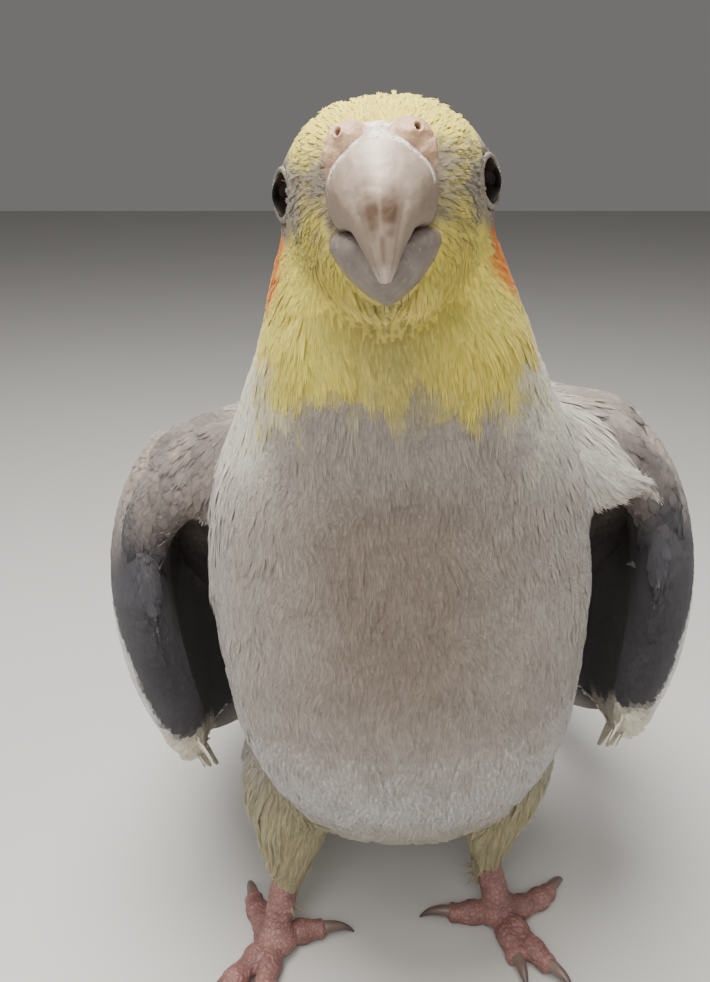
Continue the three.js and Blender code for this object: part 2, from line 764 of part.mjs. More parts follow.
function footOf(foot) {
  const [x, y] = foot.at;
  const shank = new THREE.LineCurve3(
    new THREE.Vector3(x, y + 0.4, 3.2),
    new THREE.Vector3(...foot.ankle, ANKLE_HEIGHT + 4),
  );
  const sole = new THREE.SphereGeometry(1, 9, 5);
  sole.scale(3.9, 4.1, 2.9);
  sole.translate(x, y, 2.7);
  const toes = Object.keys(TOES).map((name) => toe(foot, name));
  const joined = fuse(solid(rod(shank, () => 2.3, 2, 8)), solid(sole), ...toes);
  return joined.trimByPlane([0, 0, 1], 0).subtract(thigh(foot, GAP));
}

// Thin cuts part the body: the head from the neck, and the neck from the torso. Each plane passes through a
// point of the spine and stands square to it there.
const HEAD_CUT = 0.8;
const NECK_CUT = 0.61;

function partedAt(share) {
  const at = SPINE.getPoint(share).applyMatrix4(trunk.matrixWorld);
  const normal = SPINE.getTangent(share).transformDirection(trunk.matrixWorld);
  return {
    above: (shape) => shape.trimByPlane(normal.toArray(), normal.dot(at) + GAP / 2),
    below: (shape) => shape.trimByPlane(normal.clone().negate().toArray(), GAP / 2 - normal.dot(at)),
  };
}

const torsoAndNeck = body(0);
const aroundBody = body(GAP);
const whole = fuse(torsoAndNeck, skull(0));
const aroundHead = fuse(aroundBody, skull(GAP));
const aroundBill = upperBill(GAP).add(cere(GAP));
const headCut = partedAt(HEAD_CUT);
const neckCut = partedAt(NECK_CUT);

let head = headCut.above(whole);
[1, -1].forEach((side) => {
  head = fuse(head, headCut.above(eyelids(side))).subtract(eyeball(side, GAP));
  piece(`eye_${side > 0 ? 'left' : 'right'}`, eyeball(side, 0), COLOURS.eye, face, 0.1);
});
piece('head', head.subtract(aroundBill), COLOURS.lemon, face);
piece('bill_upper', upperBill(0).subtract(aroundHead), COLOURS.horn, face, 0.45);
piece('bill_lower', lowerBill().subtract(aroundBill).subtract(aroundHead), COLOURS.horn, face, 0.5);
const bareCere = cere(0).subtract(upperBill(GAP)).subtract(aroundHead);
piece('cere', bareCere.subtract(nostril(1)).subtract(nostril(-1)), COLOURS.cere, face, 0.6);
piece('crest', crest().subtract(aroundHead), COLOURS.lemon, face);

piece('neck', neckCut.above(headCut.below(whole)), COLOURS.lemon, trunk);
piece('torso', neckCut.below(torsoAndNeck), COLOURS.grey, trunk);
WINGS.forEach((which) => {
  const bare = wing(which).subtract(shoulder(which, GAP));
  piece(`shoulder_${which.name}`, shoulder(which, 0).subtract(aroundBody), COLOURS.grey, trunk);
  piece(`wing_${which.name}`, bare.subtract(aroundBody), COLOURS.wing, trunk);
});
piece('tail', tail().subtract(aroundBody), COLOURS.tail, bird);
FEET.forEach((foot) => {
  const names = Object.keys(TOES);
  const aroundClaws = names.map((name) => claw(foot, name, GAP)).reduce((sum, next) => sum.add(next));
  piece(`thigh_${foot.name}`, thigh(foot, 0).subtract(aroundBody), COLOURS.thigh, bird);
  piece(`foot_${foot.name}`, footOf(foot).subtract(aroundClaws), COLOURS.foot, bird, 0.7);
  names.forEach((name) => piece(`claw_${foot.name}_${name}`, claw(foot, name), COLOURS.claw, bird, 0.4));
});

// The origin is on the floor under the middle of the bounding box
const FEET_FROM_MIDDLE = [-1.4, -67.5];
bird.position.set(FEET_FROM_MIDDLE[0], FEET_FROM_MIDDLE[1], 0);
bird.updateMatrixWorld(true);

export default bird;
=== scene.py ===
# %% [markdown]
# # A cockatiel, life size
# This lesson dresses a small parrot that stands on a plain floor: a yellow face with orange
# cheeks, a soft grey body, wings held a little off its sides, a crest laid back and a long tail.
# The solids of the bird come packed as a fixed frame, in metres. Every finer piece made here
# stays where the solids put it.

# %% The frame
import math

import bmesh
import bpy
import numpy as np
from mathutils import Matrix, Vector


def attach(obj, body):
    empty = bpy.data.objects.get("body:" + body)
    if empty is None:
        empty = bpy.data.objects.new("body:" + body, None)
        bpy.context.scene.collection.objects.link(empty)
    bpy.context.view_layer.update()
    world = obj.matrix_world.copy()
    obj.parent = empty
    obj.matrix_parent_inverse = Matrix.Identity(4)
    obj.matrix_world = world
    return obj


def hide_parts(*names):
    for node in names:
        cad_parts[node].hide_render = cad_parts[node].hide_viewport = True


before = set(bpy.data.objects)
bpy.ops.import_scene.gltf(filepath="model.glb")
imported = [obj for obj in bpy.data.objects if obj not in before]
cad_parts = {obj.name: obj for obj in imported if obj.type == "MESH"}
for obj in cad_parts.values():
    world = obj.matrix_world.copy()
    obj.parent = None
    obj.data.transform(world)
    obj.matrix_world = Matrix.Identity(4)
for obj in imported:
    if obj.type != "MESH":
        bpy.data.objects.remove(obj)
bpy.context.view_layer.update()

print("solids in the frame:", len(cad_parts))

# %% [markdown]
# The bird is drawn in millimetres in its own frame, feet at the origin and bill towards -Y, and
# is moved to its place in metres at the very end of each piece. The trunk leans a few degrees
# over the hips, and the face turns and tips on the trunk, so points are given in the frame of the
# part that carries them.

# %% Places and turns
FEET_FROM_MIDDLE = np.array([-1.4, -67.5, 0.0])
HIPS = np.array([2.5, 0.0, 40.0])
LEAN = 3.4
EYE_LINE = np.array([0.0, -38.9, 133.0])
HEAD_PITCH, HEAD_YAW = 10.0, 3.0
ACROSS, UP = np.array([1.0, 0, 0]), np.array([0, 0, 1.0])
SIDE_OF = {"left": 1, "right": -1}


def turn(axis, degrees):
    return np.array(Matrix.Rotation(math.radians(degrees), 3, axis))


TRUNK_TURN = turn("Y", -LEAN)
FACE_TURN = turn("X", -HEAD_PITCH) @ turn("Z", -HEAD_YAW)


def from_trunk(p):
    return (np.asarray(p, float) - [0, 0, HIPS[2]]) @ TRUNK_TURN.T + HIPS


def to_trunk(p):
    return (np.asarray(p, float) - HIPS) @ TRUNK_TURN + [0, 0, HIPS[2]]


def from_face(p):
    return from_trunk(np.asarray(p, float) @ FACE_TURN.T + EYE_LINE)


def to_face(p):
    return (to_trunk(p) - EYE_LINE) @ FACE_TURN


def to_room(p):
    return (np.asarray(p, float) + FEET_FROM_MIDDLE) / 1000


def to_bird(p):
    return np.asarray(p, float) * 1000 - FEET_FROM_MIDDLE


# %% [markdown]
# The shapes follow smooth curves through a few named stations. The curve used here is the
# centripetal Catmull-Rom spline: it passes through every station and never loops back on itself
# where the stations stand close together. Reading it with whole arrays keeps the script quick.

# %% Curves, steps and noise
def curve(stations):
    knots = np.array(stations, float)
    full = np.vstack([2 * knots[0] - knots[1], knots, 2 * knots[-1] - knots[-2]])

    def gap(a, b):
        return np.maximum(((a - b) ** 2).sum(-1) ** 0.25, 1e-4)[..., None]

    def at(share):
        t = np.clip(np.asarray(share, float), 0, 1) * (len(knots) - 1)
        k = np.minimum(t.astype(int), len(knots) - 2)
        w = (t - k)[..., None]
        a, b, c, d = full[k], full[k + 1], full[k + 2], full[k + 3]
        ab, bc, cd = gap(a, b), gap(b, c), gap(c, d)
        m = ((b - a) / ab - (c - a) / (ab + bc) + (c - b) / bc) * bc
        n = ((c - b) / bc - (d - b) / (bc + cd) + (d - c) / cd) * bc
        return b + m * w + (3 * (c - b) - 2 * m - n) * w**2 + (2 * (b - c) + m + n) * w**3

    return at


def heading(line, share, step=1e-3):
    share = np.asarray(share, float)
    ahead = line(np.minimum(share + step, 1)) - line(np.maximum(share - step, 0))
    return ahead / np.linalg.norm(ahead, axis=-1, keepdims=True)


def evenly(line, samples=400):
    t = np.linspace(0, 1, samples + 1)
    run = np.linalg.norm(np.diff(line(t), axis=0), axis=1)
    run = np.concatenate([[0], np.cumsum(run)])
    return (lambda share: line(np.interp(np.asarray(share) * run[-1], run, t))), run[-1]


def smooth(low, high, value):
    t = np.clip((np.asarray(value, float) - low) / (high - low), 0, 1)
    return t * t * (3 - 2 * t)


def bell(distance, width):
    """1 at no distance, falling off smoothly on both sides."""
    return np.exp(-((distance / width) ** 2))


def unit(v):
    return v / np.maximum(np.linalg.norm(v, axis=-1, keepdims=True), 1e-9)


def ripple(p, size, seed):
    """Soft noise between about -1 and 1, a sum of slanted sines with waves of about this size."""
    rng = np.random.default_rng(seed)
    total = 0
    for _ in range(5):
        way = unit(rng.normal(size=3)) * 2 * math.pi / (size * rng.uniform(0.7, 1.5))
        total = total + np.sin(p @ way + rng.uniform(0, 2 * math.pi))
    return total / 2.6


# %% [markdown]
# Most forms of the bird are lofts: rings of points set one after another along a line and joined
# by quads, with each end closed by a fan. One helper makes them all, and another turns points and
# faces into an object whose place is in its mesh, since the object itself stays at the origin.

# %% Lofts and objects
def squared(wave, fullness):
    """A sine or cosine drawn out towards a square; a fullness of 2 leaves it round."""
    return np.sign(wave) * np.abs(wave) ** (2 / fullness)


def oval(centre, across, ahead, wide, fore, aft, points, fullness=2.2):
    """Rings round every centre at once: half the width, and a depth of its own on either side."""
    a = np.linspace(0, 2 * math.pi, points, endpoint=False)
    side, deep = squared(np.cos(a), fullness), squared(np.sin(a), fullness)
    reach = np.where(deep > 0, np.asarray(fore)[..., None], np.asarray(aft)[..., None]) * deep
    across, ahead = np.asarray(across)[..., None, :], np.asarray(ahead)[..., None, :]
    width = np.asarray(wide)[..., None] * side
    return centre[..., None, :] + width[..., None] * across + reach[..., None] * ahead


def ball_rings(rings, points, gap=0.03):
    """A ball of radius 1 as rings from back to front; the gap is an angle left at each pole."""
    a = np.linspace(gap, math.pi - gap, rings)
    wide = np.sin(a)
    return oval(np.stack([0 * a, np.cos(a), 0 * a], -1), ACROSS, UP, wide, wide, wide, points, 2)


def loft(rings):
    """Points and faces of the closed surface through rings of equally many points."""
    n, m = rings.shape[:2]
    points = np.vstack([rings.reshape(-1, 3), rings[0].mean(0), rings[-1].mean(0)])
    i, j = np.meshgrid(np.arange(n - 1), np.arange(m), indexing="ij")
    k = (j + 1) % m
    quads = np.stack([i * m + j, i * m + k, (i + 1) * m + k, (i + 1) * m + j], -1).reshape(-1, 4)
    j = np.arange(m)
    k = (j + 1) % m
    start = np.stack([np.full(m, n * m), k, j], -1)
    end = np.stack([np.full(m, n * m + 1), (n - 1) * m + j, (n - 1) * m + k], -1)
    return points, [tuple(face) for part in (quads, start, end) for face in part.tolist()]


def with_ends(values):
    """Values over the rings of a loft as one row, with those of the two points that close it."""
    return np.append(values.ravel(), [values[0].mean(), values[-1].mean()])


def placed(name, data):
    made = bpy.data.objects.new(name, data)
    bpy.context.scene.collection.objects.link(made)
    return made


def thing(name, points, faces):
    """An object from points in the bird's millimetres, with its faces turned outwards."""
    mesh = bpy.data.meshes.new(name)
    mesh.from_pydata(to_room(points).tolist(), [], faces)
    work = bmesh.new()
    work.from_mesh(mesh)
    bmesh.ops.recalc_face_normals(work, faces=work.faces)
    work.to_mesh(mesh)
    work.free()
    mesh.shade_smooth()
    return placed(name, mesh)


def together(parts):
    """Several lots of points and faces as one."""
    points, faces, start = [], [], 0
    for some_points, some_faces in parts:
        points.append(some_points)
        faces += [tuple(k + start for k in face) for face in some_faces]
        start += len(some_points)
    return np.vstack(points), faces


def melted(made, grain, factor, times_over):
    """Melts an object's closed forms into one smooth mesh with cells of this size."""
    remesh = made.modifiers.new("melt", "REMESH")
    remesh.mode, remesh.voxel_size = "VOXEL", grain
    rounder = made.modifiers.new("round", "SMOOTH")
    rounder.factor, rounder.iterations = factor, times_over
    sight = bpy.context.evaluated_depsgraph_get()
    mesh = bpy.data.meshes.new_from_object(made.evaluated_get(sight))
    made.modifiers.clear()
    old = made.data
    made.data = mesh
    mesh.name = made.name
    bpy.data.meshes.remove(old)
    mesh.shade_smooth()


def read(mesh, kind="vertices", what="co"):
    values = np.zeros(len(getattr(mesh, kind)) * 3)
    getattr(mesh, kind).foreach_get(what, values)
    return values.reshape(-1, 3)


def moved(made, points):
    """Moves the points of an object to these places in the room."""
    made.data.vertices.foreach_set("co", points.ravel())
    made.data.update()


def note(mesh, **values):
    """Keeps a number or a direction for every point of a mesh, under its name."""
    for key, value in values.items():
        whole, flat = value.dtype.kind == "i", value.ndim == 1
        kind = "INT" if whole else "FLOAT" if flat else "FLOAT_VECTOR"
        numbers = value.ravel().astype(np.int32 if whole else np.float32)
        kept = mesh.attributes.new(key, kind, "POINT")
        kept.data.foreach_set("value" if flat else "vector", numbers)


def corners_of(mesh):
    """The number of the point at each corner of the faces."""
    corner = np.zeros(len(mesh.loops), int)
    mesh.loops.foreach_get("vertex_index", corner)
    return corner


def add_map(mesh, name, uv):
    """A flat map of a mesh, from the place of every point on it."""
    mesh.uv_layers.new(name=name).data.foreach_set("uv", uv[corners_of(mesh)].ravel())


# %% [markdown]
# ## The skin
# Under its feathers the bird is one smooth body. It is made from the same stations as the solids:
# an oval loft for torso and neck, one for the head, a pair for the thighs and a pair of flat
# masses for the shoulders. Each is a little smaller than its solid, by the depth of the coat
# there. A voxel remesh melts them into one surface, and smoothing rounds the creases where they
# meet.

# %% The forms of the body
BODY = [
    [55, 31, 6, 4, 5],
    [40, 29.5, 15, 9.5, 13],
    [21, 34.5, 23.6, 19.5, 22],
    [6, 45, 27.5, 27.3, 27],
    [-4, 58, 28.9, 29, 28],
    [-11, 71, 28.9, 28, 27],
    [-16, 84, 28.2, 25, 24],
    [-20.5, 95.5, 25, 22.5, 19.5],
    [-25, 105.5, 20.2, 19.5, 16],
    [-29.5, 114, 16.9, 17, 14],
    [-33, 122, 14.9, 14.5, 13],
    [-35.5, 129, 12.8, 11, 12],
    [-37, 134, 8, 7, 8],
]
HEAD = [
    [-17.5, -1, 1.5, 1.5, 1.5],
    [-16, -1, 6.5, 5.6, 6],
    [-12, -1, 10.6, 8.8, 10],
    [-6, -0.5, 12.1, 9.7, 12.5],
    [-1.5, -0.5, 12, 9.7, 13.5],
    [2, -0.5, 11, 9.4, 13.6],
    [5, -0.5, 10, 8.7, 13.6],
    [9, -1, 8.7, 7.2, 12.6],
    [12, -1.5, 6.6, 5.4, 10.5],
    [13.6, -2.5, 4, 3.6, 6.5],
]
SPINE = curve([[0, y, z] for y, z, *_ in BODY])
GIRTH = curve([row[2:] for row in BODY])


def body_form(inset, rings=90, points=72):
    t = np.linspace(0, 1, rings)
    along = heading(SPINE, t)
    ahead = np.stack([0 * t, -along[:, 2], along[:, 1]], -1)
    wide, fore, aft = np.maximum(GIRTH(t) - inset, 0.5).T
    return loft(from_trunk(oval(SPINE(t), ACROSS, ahead, wide, fore, aft, points)))


def head_form(inset, rings=60, points=64):
    t = np.linspace(0, 1, rings)
    line = curve([[0, -ahead, up] for ahead, up, *_ in HEAD])
    wide, over, under = np.maximum(curve([row[2:] for row in HEAD])(t) - inset, 0.4).T
    return loft(from_face(oval(line(t), ACROSS, UP, wide, over, under, points, 2.3)))


# where the toes meet, the ankle, and the way each toe points at its root and at its tip, in degrees
FEET = {
    "left": {"side": 1, "at": [20.5, -1.5], "ankle": [17.6, 2], "toes": {
        "outer_front": [24, 36], "inner_front": [9, 9],
        "outer_rear": [98, 142], "inner_rear": [-86, -95]}},
    "right": {"side": -1, "at": [-20.4, -8.5], "ankle": [-18.6, -4.6], "toes": {
        "outer_front": [36, 38], "inner_front": [8, 4],
        "outer_rear": [146, 166], "inner_rear": [-122, -98]}},
}
# rows of: how far down the thigh, half the width and half the depth
THIGH = [
    [0, 13, 12.5],
    [0.25, 12.2, 12],
    [0.5, 9.4, 9.8],
    [0.75, 5.8, 6.4],
    [0.92, 4.2, 4.5],
    [1, 3, 3.2],
]
ANKLE_HEIGHT = 8.5


def thigh_line(foot):
    side = foot["side"]
    hip = from_trunk([side * 15.4, 3, 44])
    ankle = np.array([*foot["ankle"], ANKLE_HEIGHT])
    knee = hip + (ankle - hip) * 0.55 + [side * 1.2, -2, 0]

    def line(t):
        t = t[:, None]
        return (1 - t) ** 2 * hip + 2 * t * (1 - t) * knee + t**2 * ankle

    return line


def thigh_form(foot, inset, rings=30, points=40):
    share, wide, deep = curve(THIGH)(np.linspace(0, 1, rings)).T
    line = thigh_line(foot)
    share = np.minimum(share, 1)
    along = heading(line, share)
    ahead = unit(np.cross(ACROSS, along))
    wide, deep = np.maximum(wide - inset, 0.6), np.maximum(deep - inset, 0.6)
    return loft(oval(line(share), ACROSS, ahead, wide, deep, deep, points))


SHOULDER = {"at": [25, 6, 76.5], "size": [13, 24, 9]}
SHOULDER_TURN = turn("X", math.degrees(-0.92))
SHOULDER_TOP = {"at": [26, -1.5, 90.5], "size": [11, 13, 7]}
TOP_TURN = turn("X", -32)
SPREAD = {"left": 1.0, "right": 0.0}


def shoulder_place(name, inset):
    """The middle and the half sizes of a shoulder, which stands further out on the spread side."""
    more = SPREAD[name] * 1.5
    size = np.array([SHOULDER["size"][0] + more, *SHOULDER["size"][1:]]) - inset
    return np.array([SIDE_OF[name] * (SHOULDER["at"][0] + more), *SHOULDER["at"][1:]]), size


def shoulder_form(name, inset):
    middle, size = shoulder_place(name, inset)
    return loft(from_trunk((ball_rings(24, 32, 0.02) * size) @ SHOULDER_TURN.T + middle))


# %% [markdown]
# Where breast, shoulder and wing meet, the plumage folds over. Three kinds of fold are laid on as
# flat lobes and melted into the skin with the rest: one runs from the breast over the bend of the
# wing, one is the mantle, which covers the shoulder from behind, and one is a flap of breast
# feathers on the bird's left that ends in a wisp.

# %% Folds of the plumage
# for each fold: its sides, the way its face looks, and rows from its root to its end, each of a
# place, half the width and half the thickness
FOLDS = {
    "bend": ((1, -1), [0.35, -0.8, 0.5], [
        [16, -12, 98, 4.0, 2.0],
        [22.5, -14.0, 96, 5.2, 2.6],
        [28.5, -14.0, 93.3, 5.4, 2.7],
        [33.5, -13.0, 89.5, 5.0, 2.6],
        [36.8, -12.5, 84.5, 4.4, 2.4],
        [37.8, -11.8, 79, 3.8, 2.0],
        [37.4, -10.4, 74, 2.6, 1.2],
    ]),
    "mantle": ((1, -1), [0.4, 0.45, 0.8], [
        [11, -4, 98.5, 9.0, 3.0],
        [18, 2, 96, 11.5, 4.0],
        [24, 10, 90, 12.5, 4.6],
        [27.5, 20, 80.5, 11.5, 4.2],
        [29, 30, 71, 9.0, 3.4],
        [29, 39, 63, 6.0, 2.4],
        [28.5, 46, 57, 2.5, 1.2],
    ]),
    "flap": ((1,), [0.25, -0.85, 0.35], [
        [14, -15.5, 98.4, 4.0, 2.6],
        [19.5, -18.5, 96.2, 5.8, 3.2],
        [24, -19, 93.4, 5.4, 3.0],
        [28, -18.8, 91.4, 3.6, 2.2],
        [31.5, -18.6, 90.6, 1.6, 1.2],
    ]),
}


def spread_on(side):
    return SPREAD["left" if side > 0 else "right"]


def fold_frame(name, side, steps=60):
    _, out, table = FOLDS[name]
    rows = curve(table)(np.linspace(0, 1, steps))
    rows[:, 0] = (rows[:, 0] + spread_on(side)) * side
    ahead = unit(np.gradient(rows[:, :3], axis=0))
    out = np.array(out) * [side, 1, 1]
    facing = unit(out - (ahead @ out)[:, None] * ahead)
    return rows, ahead, np.cross(ahead, facing), facing


def fold_form(name, side):
    rows, _, across, facing = fold_frame(name, side)
    rings = oval(rows[:, :3], across, facing, rows[:, 3], rows[:, 4], rows[:, 4], 36)
    return loft(from_trunk(rings))


# %% One skin
# how far the skin lies under the solids, and the size of the cells that melt it into one
DEPTH = {"body": 1.5, "head": 0.55, "thigh": 2.1, "shoulder": 1.6}
SKIN_GRAIN = 0.0009
EYE = {"radius": 3.8, "at": [8.3, 1.5, -0.45], "ahead": 27, "lid": 2.4, "lid_out": 3.02}
ORBIT_RADIUS = 4.1


def eye_frame(side):
    """The middle of an eyeball and the way it looks, in the face's frame."""
    lean = math.radians(EYE["ahead"])
    return np.array(EYE["at"]) * [side, 1, 1], np.array([side * math.cos(lean), -math.sin(lean), 0])


def from_eye(p, side):
    """How far points of the face lie ahead of an eye's middle, and how they lie off its axis."""
    middle, axis = eye_frame(side)
    along = (p - middle) @ axis
    return along, p - middle - along[:, None] * axis


def orbit_form(side):
    return loft(from_face(ball_rings(24, 32) * ORBIT_RADIUS + eye_frame(side)[0]))


def top_place(side):
    return [side * (SHOULDER_TOP["at"][0] + spread_on(side)), *SHOULDER_TOP["at"][1:]]


def shoulder_top(side):
    """A round filling between shoulder, bend and mantle."""
    rings = (ball_rings(24, 32) * SHOULDER_TOP["size"]) @ TOP_TURN.T
    return loft(from_trunk(rings + top_place(side)))


parts = [body_form(DEPTH["body"]), head_form(DEPTH["head"])]
parts += [form(side) for form in (orbit_form, shoulder_top) for side in (-1, 1)]
for name, foot in FEET.items():
    parts += [thigh_form(foot, DEPTH["thigh"]), shoulder_form(name, DEPTH["shoulder"])]
for name, (sides, _, _) in FOLDS.items():
    parts += [fold_form(name, side) for side in sides]
skin = thing("skin", *together(parts))
melted(skin, SKIN_GRAIN, 0.6, 16)
at = to_bird(read(skin.data))
normal = read(skin.data, "vertices", "normal")
f = to_face(at)
# under each lid the skin sinks to just below the eyeball
for side in (-1, 1):
    along, aside = from_eye(f, side)
    off = np.linalg.norm(aside, axis=1)
    floor_at = np.sqrt(np.maximum(EYE["radius"] ** 2 - off**2, 0)) - 0.5
    sink = smooth(3.1, 2.6, off) * np.maximum(along - floor_at, 0) * (along > 0)
    f = f - sink[:, None] * eye_frame(side)[1]
at = from_face(f)
# the cheeks and the sides of the neck are fluffed out, more so on the bird's left
t = to_trunk(at)
fluffed = smooth(82, 104, t[:, 2]) * smooth(127, 113, t[:, 2]) * smooth(3, 12, np.abs(t[:, 0]))
at = at + normal * (fluffed * np.where(t[:, 0] > 0, 1.4, 0.6))[:, None]
moved(skin, to_room(at))
print("skin points:", len(at))

# %% [markdown]
# ## Where the skin is what
# Feathers, markings and their lie all follow from the place on the bird, so each point of the
# skin is told how far along the spine it sits, and how much it belongs to the head, a thigh or a
# shoulder. The numbers are kept as attributes of the mesh: both the skin's and the feathers'
# materials read them, so that their markings agree everywhere.

# %% Regions of the skin
spine_steps = np.linspace(0, 1, 240)
spine_line = from_trunk(SPINE(spine_steps))
nearest = ((at[:, None, :] - spine_line[None]) ** 2).sum(-1).argmin(1)
spine_share = spine_steps[nearest]
f = to_face(at)
t = to_trunk(at)
head_share = smooth(-17, -9, f[:, 2] + 0.25 * f[:, 1] * (f[:, 1] < 0))
head_share = head_share * smooth(24, 14, np.abs(f[:, 0]))
thigh_share = np.zeros(len(at))
thigh_ahead = np.zeros_like(at)
for foot in FEET.values():
    line = thigh_line(foot)(spine_steps)
    gap = ((at[:, None, :] - line[None]) ** 2).sum(-1)
    k = gap.argmin(1)
    near = smooth(17, 11.5, np.sqrt(gap.min(1))) * smooth(0.1, 0.42, spine_steps[k])
    near = near * (np.sign(at[:, 0] - HIPS[0]) == foot["side"])
    thigh_share += near
    thigh_ahead += near[:, None] * heading(thigh_line(foot), spine_steps[k])
shoulder_share = np.zeros(len(at))
for name, side in SIDE_OF.items():
    middle, size = shoulder_place(name, DEPTH["shoulder"])
    inside = ((t - middle) @ SHOULDER_TURN) / size
    near = smooth(1.25, 0.97, np.linalg.norm(inside, axis=1))
    shoulder_share += near * (np.sign(t[:, 0]) == side)
    inside = ((t - top_place(side)) @ TOP_TURN) / SHOULDER_TOP["size"]
    near = smooth(1.3, 1.05, np.linalg.norm(inside, axis=1)) * smooth(17, 21, np.abs(t[:, 0]))
    shoulder_share = np.maximum(shoulder_share, near)
fold_share, fold_run, fold_ahead = {}, {}, np.zeros_like(at)
for name, (sides, _, _) in FOLDS.items():
    fold_share[name], fold_run[name] = np.zeros(len(at)), np.zeros(len(at))
    for side in sides:
        rows, ahead, across, facing = fold_frame(name, side)
        k = ((t[:, None, :] - rows[None, :, :3]) ** 2).sum(-1).argmin(1)
        away = t - rows[k, :3]
        off = np.hypot((away * across[k]).sum(1) / rows[k, 3],
                       (away * facing[k]).sum(1) / (rows[k, 4] + 1))
        past = np.abs((away * ahead[k]).sum(1)) - 4 * (k == len(rows) - 1)
        near = smooth(1.3, 1.0, off) * smooth(3, 1, past) * smooth(2, 10, k)
        fold_share[name] = np.maximum(fold_share[name], near)
        fold_run[name] = np.where(near > 0, k / (len(rows) - 1), fold_run[name])
        fold_ahead += near[:, None] * (ahead[k] + [0, 0, -0.2]) @ TRUNK_TURN.T
folded = np.minimum(sum(fold_share.values()), 1)
front = smooth(0.35, -0.25, normal[:, 1])
for name, share in {"head": head_share, "thighs": thigh_share, "shoulders": shoulder_share}.items():
    print("skin points on the", name, int((share > 0.5).sum()))

# %% [markdown]
# Body feathers lie from the bill towards the tail. Round the face they part at the bill and sweep
# back over the crown and down the cheeks; on the trunk they run down the spine, and on a thigh
# down to the ankle. Real plumage is never combed straight, so a soft noise turns the lie a little
# from place to place.

# %% The lie of the coat
down_spine = -heading(SPINE, spine_share) @ TRUNK_TURN.T
bill_root = np.array([0.0, -15.0, -3.0])
off_bill = unit(f - bill_root)
downward = smooth(0, -10, f[:, 2])[:, None] * np.array([0, -0.1, -0.9])
sweep = off_bill * [1, 1, 0.9] + [0, 0.75, 0] + downward
off_face = unit(sweep) @ (TRUNK_TURN @ FACE_TURN).T
aside = np.stack([at[:, 0] - HIPS[0], 0 * at[:, 0], 0 * at[:, 0]], -1) / 30
over_shoulder = unit(np.array([0.0, 0.75, -0.7]) + aside * 0.2)
lie = down_spine + aside * 0.12
lie = lie * (1 - head_share)[:, None] + off_face * head_share[:, None]
lie = lie * (1 - thigh_share)[:, None] + thigh_ahead
lie = lie * (1 - shoulder_share)[:, None] + over_shoulder * shoulder_share[:, None]
lie = lie * (1 - folded)[:, None] + fold_ahead
stray = np.stack([ripple(at, 9, seed) + 0.6 * ripple(at, 4, seed + 9) for seed in (1, 2, 3)], -1)
lie = unit(lie + 0.16 * stray)

# %% [markdown]
# The markings: head and bib are yellow, with an orange patch over each ear. The bib ends in a
# ragged edge on the breast. Below it the plumage is a warm grey, browner down the middle, and
# paler again on the belly and thighs. Over this, shade is painted in: the belly darkens towards
# the bottom, the thighs and the armpits are darker, and the yellow greys in the middle of the
# throat. Thin whitish feathers stand round the bill and the eyes, where the skin shows between
# them.

# %% The markings
BIB_EDGE = 112.0
ragged = 1.3 * ripple(at, 7, 21) + 2.0 * ripple(at * [1, 1, 0.3], 2.4, 22)
side_drop = 0.02 * np.clip(np.abs(t[:, 0]) - 2, 0, 15) ** 2
yellow = smooth(-2.5, 3.5, t[:, 2] - BIB_EDGE + ragged + side_drop)
yellow = yellow * (1 - folded) * (1 - shoulder_share)
# painted shade: the yellow turns greyer and darker in the middle of the throat, under the bill
yellow = yellow * (1 - 0.25 * bell(t[:, 0] + 1, 5) * smooth(-9, -12, f[:, 2]) * front)
ear = np.array([11.4, 5.6, -6.8])
half_face = np.stack([np.abs(f[:, 0]), f[:, 1], f[:, 2]], -1)
off_ear = np.linalg.norm((half_face - ear) * [0.5, 1, 0.95], axis=1)
orange = smooth(6.3, 3.4, off_ear + 0.5 * ripple(at, 3, 23))
mask_place = (f - [0, -13.6, 0.5]) * [0.75, 1, 0.8]
bare = smooth(8.4, 4.6, np.linalg.norm(mask_place, axis=1) + 0.8 * ripple(at, 3, 24))
bare = bare * smooth(-9, -6, f[:, 2]) * smooth(3.5, 0.5, f[:, 2])
lore = (half_face - [9.4, -5.2, -1.4]) * [0.6, 0.62, 1]
bare = np.maximum(bare, smooth(4.6, 2.2, np.linalg.norm(lore, axis=1) + 0.6 * ripple(at, 3, 25)))
for side in (-1, 1):
    along, aside = from_eye(f, side)
    near = smooth(5.4, 3.6, np.linalg.norm(aside * [1, 1, 0.88], axis=1)) * (along > 0)
    bare = np.maximum(bare, near)
brown = smooth(17, 3, np.abs(t[:, 0] + 1))
brown = brown * smooth(62, 76, t[:, 2]) * smooth(106, 94, t[:, 2]) * front
# painted shade: less pale towards the bottom of the belly
pale = smooth(66, 48, t[:, 2]) * (0.75 - 0.45 * smooth(46, 34, t[:, 2])) * front * (1 - thigh_share)
pale = np.clip(pale + smooth(15, 26, np.abs(t[:, 0])) * front * 0.22, 0, 1)
whitish = smooth(12, 17, np.abs(t[:, 0]) + 2 * ripple(at, 5, 26))
whitish = 0.85 * whitish * smooth(95, 107, t[:, 2] + 2 * ripple(at, 6, 28))
whitish = whitish * smooth(120, 112, t[:, 2])
whitish = whitish * smooth(0.75, 0.1, normal[:, 1]) * smooth(0.7, 0.45, normal[:, 2])
lemon = thigh_share * 0.14 + smooth(46, 30, t[:, 2]) * 0.08 * front


